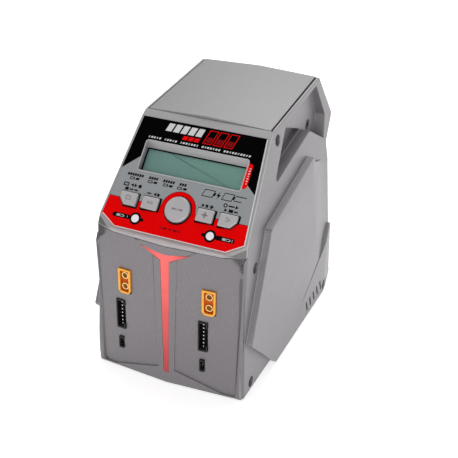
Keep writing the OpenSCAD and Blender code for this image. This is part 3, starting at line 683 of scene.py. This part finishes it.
def pick(piece, kind, test):
    """Selects the faces or edges for which test says yes, and stays in edit mode."""
    mesh = bmesh.from_edit_mesh(piece.data)
    bpy.ops.mesh.select_mode(type=kind)
    bpy.ops.mesh.select_all(action="DESELECT")
    parts = mesh.faces if kind == "FACE" else mesh.edges
    for part in parts:
        part.select_set(bool(test(part)))
    mesh.select_flush_mode()
    bmesh.update_edit_mesh(piece.data)
    return sum(part.select for part in parts)


def apply_modifier(piece, kind, **settings):
    only(piece)
    modifier = piece.modifiers.new("step", kind)
    for key, value in settings.items():
        setattr(modifier, key, value)
    bpy.ops.object.modifier_apply(modifier=modifier.name)


def settle(piece, matrix=None):
    """The piece's place goes into its mesh."""
    only(piece)
    bpy.ops.object.transform_apply(location=True, rotation=True, scale=True)
    if matrix:
        piece.data.transform(matrix)
    piece.data.update()


def smooth(piece, angle=34):
    only(piece)
    bpy.ops.object.shade_smooth_by_angle(angle=math.radians(angle))
    apply_modifier(piece, "WEIGHTED_NORMAL", keep_sharp=True, weight=60)


def hand_over(piece, name, material, body="case", stands_for=()):
    piece.name = name
    piece.data.name = name
    piece.data.materials.clear()
    piece.data.materials.append(material)
    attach(piece, body)
    if stands_for:
        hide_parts(*stands_for)
    return piece


print("modelling helpers ready")

# %% [markdown]
# ## Softened mouldings
# CAD edges are knife-sharp, and real mouldings never are: the light catches a small radius on
# every edge. Each visible moulding is a copy of its CAD node. The copy's loose triangles are
# merged, flat areas get fewer and larger triangles, and a bevel of a few tenths of a
# millimetre rounds the edges that turn sharply. Where two edges meet closer than the bevel is
# wide, a point can overshoot, so strays are pulled back to the CAD surface.


# %% Softened copies
def front_corner(edge):
    """The upright outer corners of the front, in metres."""
    middle = (edge.verts[0].co + edge.verts[1].co) / 2
    rise = abs(edge.verts[0].co.z - edge.verts[1].co.z) / max(edge.calc_length(), 1e-9)
    face_y = FRONT_Y + abs(middle.x) * FRONT_FLARE + middle.z * FRONT_LEAN
    return rise > 0.9 and abs(middle.x) > 0.0445 and abs(middle.y - face_y) < 0.0005


def pull_back(piece, node, limit):
    """Points further than limit from the CAD surface go back to it, and none leave its box."""
    source = nodes[node].data
    corners = [vertex.co for vertex in source.vertices]
    low = [min(corner[axis] for corner in corners) for axis in range(3)]
    high = [max(corner[axis] for corner in corners) for axis in range(3)]
    surface = BVHTree.FromPolygons([vertex.co for vertex in source.vertices],
                                   [face.vertices[:] for face in source.polygons])
    strays = 0
    for vertex in piece.data.vertices:
        place, _, _, distance = surface.find_nearest(vertex.co)
        if distance > limit:
            vertex.co = place
            strays += 1
        vertex.co = [min(max(value, least), most)
                     for value, least, most in zip(vertex.co, low, high)]
    return strays


def softened(node, radius, segments, larger):
    """A copy of a CAD node with soft edges. larger is (test, radius) for edges rounded more."""
    piece = bpy.data.objects.new(node, nodes[node].data.copy())
    bpy.context.scene.collection.objects.link(piece)
    only(piece)
    bpy.ops.mesh.customdata_custom_splitnormals_clear()
    edit(piece, "SELECT")
    bpy.ops.mesh.remove_doubles(threshold=0.00003)
    bpy.ops.mesh.dissolve_limited(angle_limit=math.radians(0.4))
    bpy.ops.mesh.quads_convert_to_tris(quad_method="BEAUTY", ngon_method="BEAUTY")
    if larger:
        test, wide = larger
        found = pick(piece, "EDGE", test)
        if found:
            bpy.ops.mesh.bevel(offset=wide * MM, segments=5, affect="EDGES", clamp_overlap=False)
    bpy.ops.object.mode_set(mode="OBJECT")
    apply_modifier(piece, "BEVEL", width=radius * MM, segments=segments, limit_method="ANGLE",
                   angle_limit=math.radians(30), use_clamp_overlap=False,
                   miter_outer="MITER_ARC", loop_slide=False)
    strays = pull_back(piece, node, 0.75 * max(radius, larger[1] if larger else 0) * MM)
    smooth(piece)
    slot = slot_of[node]
    hand_over(piece, node + "_moulded", finishes[slot], body_of[node], (node,))
    print(piece.name, len(piece.data.polygons), "faces,", strays, "strays pulled back")
    return piece


keys = [(key + "_button", 0.6, 3) for key in ("select", "minus", "plus", "enter")]
for node, radius, segments in (
        ("right_side_cover", 0.4, 2), ("left_side_cover", 0.4, 2), ("top_cover", 0.35, 2),
        ("rear_hood", 0.4, 2), ("control_bezel", 0.3, 2), ("panel_overlay", 0.08, 1),
        ("rear_panel", 0.2, 2), ("base_plate", 0.25, 2), ("rubber_feet", 0.25, 3),
        ("front_panel", 0.3, 2), ("light_bar", 0.15, 2), *keys, ("channel_button", 0.85, 4),
        ("left_output_socket", 0.2, 2), ("right_output_socket", 0.2, 2),
        ("mains_inlet", 0.4, 2), ("supply_inlet", 0.25, 2)):
    softened(node, radius, segments, (front_corner, 1.8) if node == "front_panel" else None)

# %% [markdown]
# ## The panel's own frame
# The prints and the window lie on a slope of 45 degrees. They are drawn flat, with u across
# and v down the slope in millimetres, and one matrix then lays them on the panel. Its columns
# are the directions of u, of v turned upwards, and out of the panel.

# %% Panel matrix
IN_MM = Matrix.Scale(MM, 4)
PANEL = Matrix.Translation(Vector((0, PANEL_Y, PANEL_Z)) * MM) @ Matrix.Rotation(
    math.radians(45), 4, "X")
print("panel matrix", [round(value, 3) for value in PANEL.translation])

# %% [markdown]
# ## Flat prints
# A printed sign is a thin film. A filled curve is the easy way to draw one: every closed
# outline inside another cuts a hole. It is given a few hundredths of a millimetre of
# thickness, turned into a mesh while it still lies flat, and then laid on the panel.


# %% Shapes for prints
def bar(u, v, width, height, slant=0.0):
    lean = slant * height / 2
    w, h = width / 2, height / 2
    return [[(u - w + lean, v - h), (u + w + lean, v - h), (u + w - lean, v + h),
             (u - w - lean, v + h)]]


def disc(u, v, radius, sides=32):
    return [[(u + radius * math.cos(2 * math.pi * i / sides),
              v + radius * math.sin(2 * math.pi * i / sides)) for i in range(sides)]]


def circle_line(u, v, radius, line):
    return disc(u, v, radius) + disc(u, v, radius - line)


def pill(u0, u1, v, height):
    """A bar with round ends."""
    radius = height / 2
    turn = [math.pi * i / 10 for i in range(11)]
    right = [(u1 - radius + radius * math.sin(a), v - radius * math.cos(a)) for a in turn]
    left = [(u0 + radius - radius * math.sin(a), v + radius * math.cos(a)) for a in turn]
    return [right + left]


def battery(u, v, width, height, line, slant=0.0):
    """A battery standing on its side, as an outline with a pole at its right end."""
    w, h, pole = width / 2, height / 2, height * 0.22
    outer = [(-w, -h), (w, -h), (w, -pole), (w + pole, -pole), (w + pole, pole), (w, pole),
             (w, h), (-w, h)]
    inner = [(-w + line, -h + line), (w - line, -h + line), (w - line, h - line),
             (-w + line, h - line)]
    return [[(u + a - slant * b, v + b) for a, b in outline] for outline in (outer, inner)]


def bolt(u, v, height):
    """A lightning bolt."""
    points = [(0.12, -0.5), (-0.28, 0.08), (-0.03, 0.08), (-0.14, 0.5), (0.28, -0.1),
              (0.03, -0.1)]
    return [[(u + a * height, v + b * height) for a, b in points]]


def triangle(u, v, size, way=1):
    w, h = size * 0.42 * way, size / 2
    return [[(u - w, v - h), (u + w, v), (u - w, v + h)]]


def outline_box(u, v, width, height, line):
    return bar(u, v, width, height) + bar(u, v, width - 2 * line, height - 2 * line)


def plus(u, v, size, line):
    s, t = size / 2, line / 2
    return [[(u + a, v + b) for a, b in
             ((-t, -s), (t, -s), (t, -t), (s, -t), (s, t), (t, t), (t, s), (-t, s), (-t, t),
              (-s, t), (-s, -t), (-t, -t))]]


def row(count, shape):
    """The outlines of shape(0), shape(1) and so on, in one list."""
    return [outline for i in range(count) for outline in shape(i)]


def laid_on_panel(flat, place, name, ink, body="case"):
    """Makes a mesh of a curve or text, moves it to its place and lays it on the panel."""
    only(flat)
    bpy.ops.object.convert(target="MESH")
    film = bpy.context.object
    film.data.transform(Matrix.Translation(place))
    film.data.transform(PANEL @ IN_MM)
    edit(film, "SELECT")
    bpy.ops.mesh.remove_doubles(threshold=0.000002)
    bpy.ops.mesh.normals_make_consistent(inside=False)
    bpy.ops.object.mode_set(mode="OBJECT")
    print(name, len(film.data.polygons), "faces")
    return hand_over(film, name, inks[ink], body)


def printed(name, shapes, ink, level=0.0, thick=0.03, body="case"):
    """A film of ink over the panel, its top at level + thick millimetres."""
    curve = bpy.data.curves.new(name, "CURVE")
    curve.dimensions = "2D"
    curve.fill_mode = "BOTH"
    curve.extrude = thick / 2
    for outline in shapes:
        line = curve.splines.new("POLY")
        line.points.add(len(outline) - 1)
        line.use_cyclic_u = True
        for point, (u, v) in zip(line.points, outline):
            point.co = (u, -v, 0, 1)
    film = bpy.data.objects.new(name, curve)
    bpy.context.scene.collection.objects.link(film)
    return laid_on_panel(film, (0, 0, level + thick / 2), name, ink, body)


# %% [markdown]
# ## Signs on the sheet
# The black area over the display holds a row of slanted gauge blocks and three battery
# outlines, with a fine scale under them. The grey area has small battery signs for what can
# be charged, and simple signs over each key: stop, less, more and start. The lamps sit in
# black surrounds with a number each.

# %% Signs over the display
printed("title_blocks", row(5, lambda i: bar(-20.4 + i * 4.75, 4.2, 3.7, 4.9, 0.3)), "white")
printed("title_dashes", row(3, lambda i: bar(-9.4 + i * 3.6, 8.9, 3.0, 2.4, 0.3)), "red")
printed("title_batteries", row(3, lambda i: bar(5.6 + i * 6.5, 5.7, 5.4, 8.6, 0.3)
                               + bar(5.6 + i * 6.5, 5.7, 4.5, 7.8, 0.3)), "red")
printed("title_charge", row(3, lambda i: bar(5.15 + i * 6.5, 7.4, 3.4, 3.2, 0.3)), "dark_red")
scale_marks = []
for i in range(38):
    if i not in (5, 11, 19, 27):
        scale_marks += bar(-31.4 + i * 1.7, 11.95, 1.1 if i % 3 else 0.6, 1.1, 0.3)
printed("scale_marks", scale_marks, "white")

# %% [markdown]
# ## Signs round the keys
# These repeat a few shapes, so each group is one print: a battery and a bar for every kind of
# cell, a square and bars over the left key, a triangle over the right one, and a line drawing
# of a charge lead between them.

# %% Signs round the keys
cell_signs = []
for u, width in ((-31.8, 10.5), (-20.3, 6.0), (-10.5, 8.0), (-1.6, 5.0)):
    count = int(width / 1.5)
    start = u - (count - 1) * 0.75
    for i in range(count):
        cell_signs += bar(start + i * 1.5, 36.0, 1.2, 1.55, 0.25)
    cell_signs += battery(u - 1.5, 38.3, 2.8, 1.6, 0.42) + bar(u + 1.9, 38.3, 2.2, 1.3, 0.25)
printed("cell_signs", cell_signs, "black")
key_signs = (outline_box(-35.6, 42.3, 3.4, 2.2, 0.6) + triangle(-31.8, 42.3, 2.2, -1)
             + triangle(-29.4, 42.3, 2.2) + bar(-26.8, 42.3, 1.9, 1.9) + bar(-34.4, 44.9, 2.2, 1.8)
             + bar(-31.4, 44.9, 2.4, 0.8) + bar(-28.5, 44.9, 2.2, 0.8)
             + bar(-20.0, 44.9, 2.6, 0.75) + triangle(-16.4, 44.9, 2.1, -1)
             + bar(-14.2, 44.9, 1.5, 1.7) + triangle(14.0, 44.9, 2.1) + bar(16.2, 44.9, 1.4, 1.7)
             + plus(19.0, 44.9, 2.3, 0.75) + circle_line(26.6, 42.2, 1.2, 0.55)
             + bar(30.2, 42.2, 3.6, 0.8) + triangle(33.6, 42.2, 2.2) + triangle(27.6, 44.8, 2.1)
             + bar(30.6, 44.8, 2.6, 1.8) + bar(33.6, 44.8, 2.2, 0.8))
printed("key_signs", key_signs, "black")
lead_sign = (battery(14.8, 37.6, 6.6, 4.4, 0.45, 0.3) + bolt(20.9, 37.7, 4.8)
             + battery(26.6, 37.4, 6.2, 4.4, 0.45, 0.3) + bar(34.0, 35.9, 6.4, 0.5)
             + bar(32.6, 38.8, 4.6, 0.5))
printed("lead_sign", lead_sign, "black")
printed("channel_sign", triangle(-7.0, 62.7, 1.6, -1) + bar(-4.2, 62.7, 2.6, 1.2)
        + bar(-1.0, 62.7, 2.2, 0.7) + bar(2.2, 62.7, 2.6, 1.2) + triangle(5.0, 62.7, 1.6),
        "dark_red")

# %% [markdown]
# ## Gaps, painted shadows and the painted edge highlight
# The holes in the sheet are a little larger than the keys, and a black ring is printed round
# each: a dark gap all round, widened on the right and below as a painted shadow of the key.
# A fine white line follows the sheet's right side, its cut corners and its foot: a painted
# highlight, for the light that the moulding's lip catches.


# %% Gaps, painted key shadows and painted edge highlight
def gap_and_shadow_ring(u, cut=0):
    """A black ring round a key's hole: a dark gap all round, widened on the right and below as
    painted shadow. cut is the side of the key's cut-off corner, if any.
    """
    w, h = (5.85, 4.3) if cut else (5.55, 4.2)
    inner = [(-w, -h), (w, -h), (w, h), (-w, h)]
    outer = [(-w - 0.1, -h - 0.1), (w + 0.65, -h + 0.3), (w + 0.65, h + 0.65), (-w + 0.3, h + 0.65)]
    if cut > 0:
        inner[2:3] = [(w, h - 3.9), (w - 3.3, h)]
        outer[2:3] = [(w + 0.65, h - 3.7), (w - 2.9, h + 0.65)]
    if cut < 0:
        inner[3:4] = [(-w + 3.3, h), (-w, h - 3.9)]
        outer[3:4] = [(-w + 3.3, h + 0.65), (-w - 0.1, h - 3.8)]
    return [[(u + a, KEY_ROW + b) for a, b in points] for points in (outer, inner)]


# Painted shadow: each ring is wider on the right and below, and the round key's ring is shifted that
# way, for the key's shadow on the sheet.
gap_and_shadow_rings = gap_and_shadow_ring(-31.0, -1) + gap_and_shadow_ring(-17.1) + gap_and_shadow_ring(17.1) + gap_and_shadow_ring(31.0, 1)
gap_and_shadow_rings += disc(0.25, KEY_ROW + 0.25, 8.45, 64) + disc(0, KEY_ROW, 8.02, 64)
printed("key_gap_and_shadow_rings", gap_and_shadow_rings, "black")
# Painted highlight: a fine white line along the sheet's right side, cut corners and foot, for the
# light that the moulding's lip catches.
edge_out = [(38.95, 0.35), (44.6, 62.1), (34.75, 68.1), (-34.75, 68.1), (-44.55, 62.15)]
edge_in = [(-43.9, 61.7), (-34.6, 67.5), (34.5, 67.5), (43.85, 61.75), (38.25, 0.35)]
printed("painted_edge_highlight", [edge_out + edge_in], "white")

# %% [markdown]
# ## Lamp surrounds and the tag
# Each status lamp sits in a black disc with a long tag outwards and a short one inwards. The
# number in the tag is a text object, made a mesh while it lies flat. The red tag beside the
# display has round ends and a column of light marks.


# %% Lamp surrounds and tag
def number(text, u, v, size, name):
    only(camera)
    bpy.ops.object.text_add(location=(0, 0, 0))
    sign = bpy.context.object
    sign.data.body = text
    sign.data.size = size
    sign.data.extrude = 0.015
    sign.data.align_x = "CENTER"
    sign.data.align_y = "CENTER"
    return laid_on_panel(sign, (u, -v, 0.05), name, "white")


LED_U, LED_V = 23.3, 61.0
for side, word, digit, digit_u in ((-1, "left", "1", -28.4), (1, "right", "2", 36.6)):
    u = side * LED_U
    printed(word + "_lamp_ring", disc(u, LED_V, 3.6) + disc(u, LED_V, 2.42), "black")
    long_tag = pill(*sorted((side * 26.4, side * 38.0)), LED_V, 2.7)
    short_tag = pill(*sorted((side * 20.4, side * 18.0)), LED_V, 1.9)
    printed(word + "_lamp_tags", long_tag + short_tag, "black")
    printed(word + "_lamp_battery", battery(side * 33.0, LED_V, 4.6, 1.3, 0.22)
            + bar(side * 33.0 - 1.1, LED_V, 1.5, 0.55), "white", level=0.03)
    number(digit, digit_u, LED_V, 1.9, word + "_lamp_number")
printed("window_tag", [[(v, u) for u, v in pill(16.0, 31.0, 33.5, 3.6)[0]]], "red")
printed("window_tag_marks", row(7, lambda i: bar(34.2, 18.9 + i * 1.5, 1.1 if i % 3 else 0.6, 0.6)),
        "white", level=0.03)

# %% [markdown]
# ## Signs on the keys
# The keys carry a stop square, a minus, a plus, a start triangle and, on the round key, a
# two-way mark. They are shallow prints a little darker than the paint, and each one rides on
# its own key, so that it moves down with it.

# %% Key signs
KEY_TOP = 1.5
DISH = 0.72  # the round key's sign lies this much lower
key_prints = (
    ("select", "select_sign", outline_box(-31.0, KEY_ROW - 0.4, 3.0, 2.4, 0.35)),
    ("minus", "minus_sign", outline_box(-17.1, KEY_ROW - 0.2, 3.4, 1.2, 0.3)),
    ("plus", "plus_sign", plus(17.1, KEY_ROW - 0.2, 3.4, 0.8)),
    ("enter", "enter_sign", triangle(31.2, KEY_ROW - 0.3, 3.0) + triangle(30.95, KEY_ROW - 0.3, 2.0)),
    ("channel", "channel_key_sign", triangle(-3.0, KEY_ROW, 1.5, -1) + bar(-1.3, KEY_ROW, 1.6, 0.5)
     + bar(1.3, KEY_ROW, 1.6, 0.5) + triangle(3.0, KEY_ROW, 1.5)),
)
for key, name, shapes in key_prints:
    level, thick = (KEY_TOP - DISH, 0.24) if key == "channel" else (KEY_TOP, 0.03)
    printed(name, shapes, "grey", level, thick, key + "_button_key")

# %% [markdown]
# ## The window's rim and the display
# A thin bright rim frames the window, where the sheet meets the moulding: a painted highlight,
# a light grey ring for the light that the moulding's inner edge catches. It starts as a block of
# the window's size with rounded corners; its front and back are inset and bridged, which leaves
# a ring. The display panel lies just under the pane: a slab with a fine edge.

# %% Window rim and display panel
WINDOW_W, WINDOW_H, WINDOW_V = 64.0, 18.3, 23.45


def block(size, centre):
    """A block in millimetres, for shaping."""
    only(camera)
    bpy.ops.mesh.primitive_cube_add(size=1, location=centre)
    piece = bpy.context.object
    piece.scale = size
    settle(piece)
    return piece


def window_block(size, level, corner, segments):
    """A block on the window's centre with rounded upright edges, left in edit mode."""
    piece = block(size, (0, -WINDOW_V, level))
    edit(piece)
    pick(piece, "EDGE", lambda e: abs(e.verts[0].co.z - e.verts[1].co.z) > size[2] * 0.49)
    bpy.ops.mesh.bevel(offset=corner, segments=segments, affect="EDGES")
    return piece


def window_highlight_rim():
    # Painted highlight: a light grey ring for the light that the moulding's inner edge catches.
    rim = window_block((WINDOW_W + 1.1, WINDOW_H + 1.1, 0.3), 0.02, 1.7, 5)
    pick(rim, "FACE", lambda f: abs(f.normal.z) > 0.9)
    bpy.ops.mesh.inset(thickness=0.62)
    bpy.ops.mesh.bridge_edge_loops()
    bpy.ops.object.mode_set(mode="OBJECT")
    apply_modifier(rim, "BEVEL", width=0.08, segments=2, limit_method="ANGLE")
    settle(rim, PANEL @ IN_MM)
    smooth(rim)
    return hand_over(rim, "window_highlight_rim", finishes["key_plastic"])


def display_glass_pane():
    """The clear front pane, with its edges ground off."""
    pane = window_block((71.0, 24.6, 1.0), -4.6, 0.6, 3)
    bpy.ops.object.mode_set(mode="OBJECT")
    apply_modifier(pane, "BEVEL", width=0.15, segments=1, limit_method="ANGLE")
    settle(pane, PANEL @ IN_MM)
    return hand_over(pane, "display_glass_pane", finishes["display_glass"],
                     stands_for=("display_lens",))


def display_face():
    face = window_block((70.0, 23.6, 0.06), -5.15, 0.8, 3)
    pick(face, "FACE", lambda f: f.normal.z > 0.9)
    bpy.ops.mesh.inset(thickness=1.6)
    bpy.ops.object.mode_set(mode="OBJECT")
    settle(face, PANEL @ IN_MM)
    return hand_over(face, "display_face", display_panel)


for piece in (window_highlight_rim(), display_glass_pane(), display_face()):
    print(piece.name, len(piece.data.polygons), "faces")
# Painted shadow: a black frame just over the pane, wider along the window's top and left, for the
# shade that the window's walls cast on the display.
printed("display_painted_shadow", [[(-31.9, 17.35), (31.9, 17.35), (31.9, 32.5), (-31.9, 32.5)],
                           [(-31.1, 18.2), (31.5, 18.2), (31.5, 32.3), (-31.1, 32.3)]],
        "black", level=-4.0, thick=0.08)

# %% [markdown]
# ## Battery contacts
# Each amber socket has two round gold contacts. A contact is a turned tube with a rounded
# lip. One cylinder is inset and pushed in to make the bore, its lip is bevelled, and copies go
# to the four places. The front leans back and its two halves turn away from each other, so
# each place has its own matrix.


# %% Contacts
COLUMN_X = 27      # a socket column's place, in millimetres
TURN_OUT = math.radians(4)
LEAN_BACK = math.radians(-2)
SOCKET_Z = 62.9
POLES = (-3.6, 3.6)


def front_matrix(side):
    """From a socket column's own frame, z up and -y out of the front, in millimetres."""
    return (IN_MM @ Matrix.Translation((0, FRONT_Y / MM, 0))
            @ Matrix.Rotation(LEAN_BACK, 4, "X") @ Matrix.Translation((side * COLUMN_X, 0, 0))
            @ Matrix.Rotation(side * TURN_OUT, 4, "Z")
            @ Matrix.Translation((0, COLUMN_X * math.tan(TURN_OUT), 0)))


def joined(parts, name):
    only(parts[0])
    for part in parts:
        part.select_set(True)
    bpy.ops.object.join()
    parts[0].name = name
    return parts[0]


def copies(piece, matrices):
    """One piece with its own mesh at each place, joined into one object."""
    made = []
    for matrix in matrices:
        other = bpy.data.objects.new("copy", piece.data.copy())
        bpy.context.scene.collection.objects.link(other)
        other.data.transform(matrix)
        made.append(other)
    bpy.data.objects.remove(piece)
    return joined(made, "copies")


def cylinder(sides, radius, length, centre, turn):
    only(camera)
    bpy.ops.mesh.primitive_cylinder_add(vertices=sides, radius=radius, depth=length, location=centre,
                                        rotation=[math.radians(angle) for angle in turn])
    piece = bpy.context.object
    settle(piece)
    return piece


def push(piece, test, rim, move):
    """Insets the faces for which test says yes by rim, and pushes the new face by move."""
    pick(piece, "FACE", test)
    bpy.ops.mesh.inset(thickness=rim)
    bpy.ops.mesh.extrude_region_move(TRANSFORM_OT_translate={"value": move})


def contact():
    tube = cylinder(32, 2.28, 9.6, (0, 5.0, 0), (90, 0, 0))
    edit(tube)
    push(tube, lambda f: f.normal.y < -0.9, 0.75, (0, 6.4, 0))
    bpy.ops.object.mode_set(mode="OBJECT")
    apply_modifier(tube, "BEVEL", width=0.28, segments=3, limit_method="ANGLE",
                   angle_limit=math.radians(40))
    smooth(tube)
    return tube


contacts = copies(contact(), [front_matrix(side) @ Matrix.Translation((0, 0, SOCKET_Z + up))
                              for side in (-1, 1) for up in POLES])
hand_over(contacts, "socket_contacts", finishes["contact_brass"],
          stands_for=("output_contacts",))
print("socket_contacts", len(contacts.data.polygons), "faces")

# %% [markdown]
# ## Cover screws
# Ten black screws hold the side covers. The head is a cylinder whose rim is bevelled; its
# front is inset and pushed in to a round socket, and its back is drawn out to a shank. Built
# once along x, it is turned round for the left side.

# %% Screws
# Each seat's y and z, and how far out it lies
SEATS = ((-11.5, 139.2, 37.2), (-53.7, 80.2, 42.6), (-61.0, 5.6, 44.4), (54.6, 5.6, 45.4),
         (51.0, 122.9, 34.2))


def screw():
    """A screw along x, its seat at 0 and its head towards +x, in millimetres."""
    head = cylinder(36, 2.8, 2.0, (1, 0, 0), (0, 90, 0))
    edit(head)
    pick(head, "EDGE", lambda e: min(v.co.x for v in e.verts) > 1.9)
    bpy.ops.mesh.bevel(offset=0.5, segments=3, affect="EDGES")
    push(head, lambda f: f.normal.x > 0.99 and f.calc_center_median().x > 1.9, 0.85, (-1.1, 0, 0))
    push(head, lambda f: f.normal.x < -0.99, 1.4, (-6.0, 0, 0))
    bpy.ops.object.mode_set(mode="OBJECT")
    smooth(head)
    return head


places = []
for y, z, seat in SEATS:
    places += [IN_MM @ Matrix.Translation((seat, y, z)),
               Matrix.Rotation(math.pi, 4, "Z") @ IN_MM @ Matrix.Translation((seat, -y, z))]
cover_screws = copies(screw(), places)
hand_over(cover_screws, "cover_screws_turned", finishes["screw_steel"],
          stands_for=("cover_screws",))
print("cover_screws_turned", len(cover_screws.data.polygons), "faces")

# %% [markdown]
# ## The fan guard
# The guard over the fan is bent from round wire: three rings on two crossing wires, with an
# eyelet at each corner. The rings and eyelets are tori; a cross wire is a cylinder whose ends
# are rounded. All are joined into one piece.

# %% Fan guard
FAN_Z = 72.0
GUARD_Y = 62.0
WIRE = 0.75      # the wire's radius
EYELETS = 20     # the eyelets' distance from the fan's axis, sideways and upwards


def torus(radius, centre):
    only(camera)
    bpy.ops.mesh.primitive_torus_add(major_radius=radius, minor_radius=WIRE, major_segments=64,
                                     minor_segments=12, location=centre,
                                     rotation=(math.radians(90), 0, 0))
    settle(bpy.context.object)
    return bpy.context.object


def cross_wire(angle):
    wire = cylinder(16, WIRE, 51, (0, GUARD_Y + 0.78, FAN_Z), (0, angle, 0))
    apply_modifier(wire, "BEVEL", width=0.4, segments=3, limit_method="ANGLE",
                   angle_limit=math.radians(60))
    return wire


wires = [torus(radius, (0, GUARD_Y + 1.44, FAN_Z)) for radius in (8, 14, 20)]
wires += [cross_wire(angle) for angle in (45, 135)]
wires += [torus(2.75, (x, GUARD_Y + 0.8, FAN_Z + z)) for x in (-EYELETS, EYELETS)
          for z in (-EYELETS, EYELETS)]
guard = joined(wires, "fan_guard_wire")
guard.data.transform(IN_MM)
smooth(guard, 40)
hand_over(guard, "fan_guard_wire", finishes["guard_steel"],
          stands_for=("fan_guard",))
print("fan_guard_wire", len(guard.data.polygons), "faces")
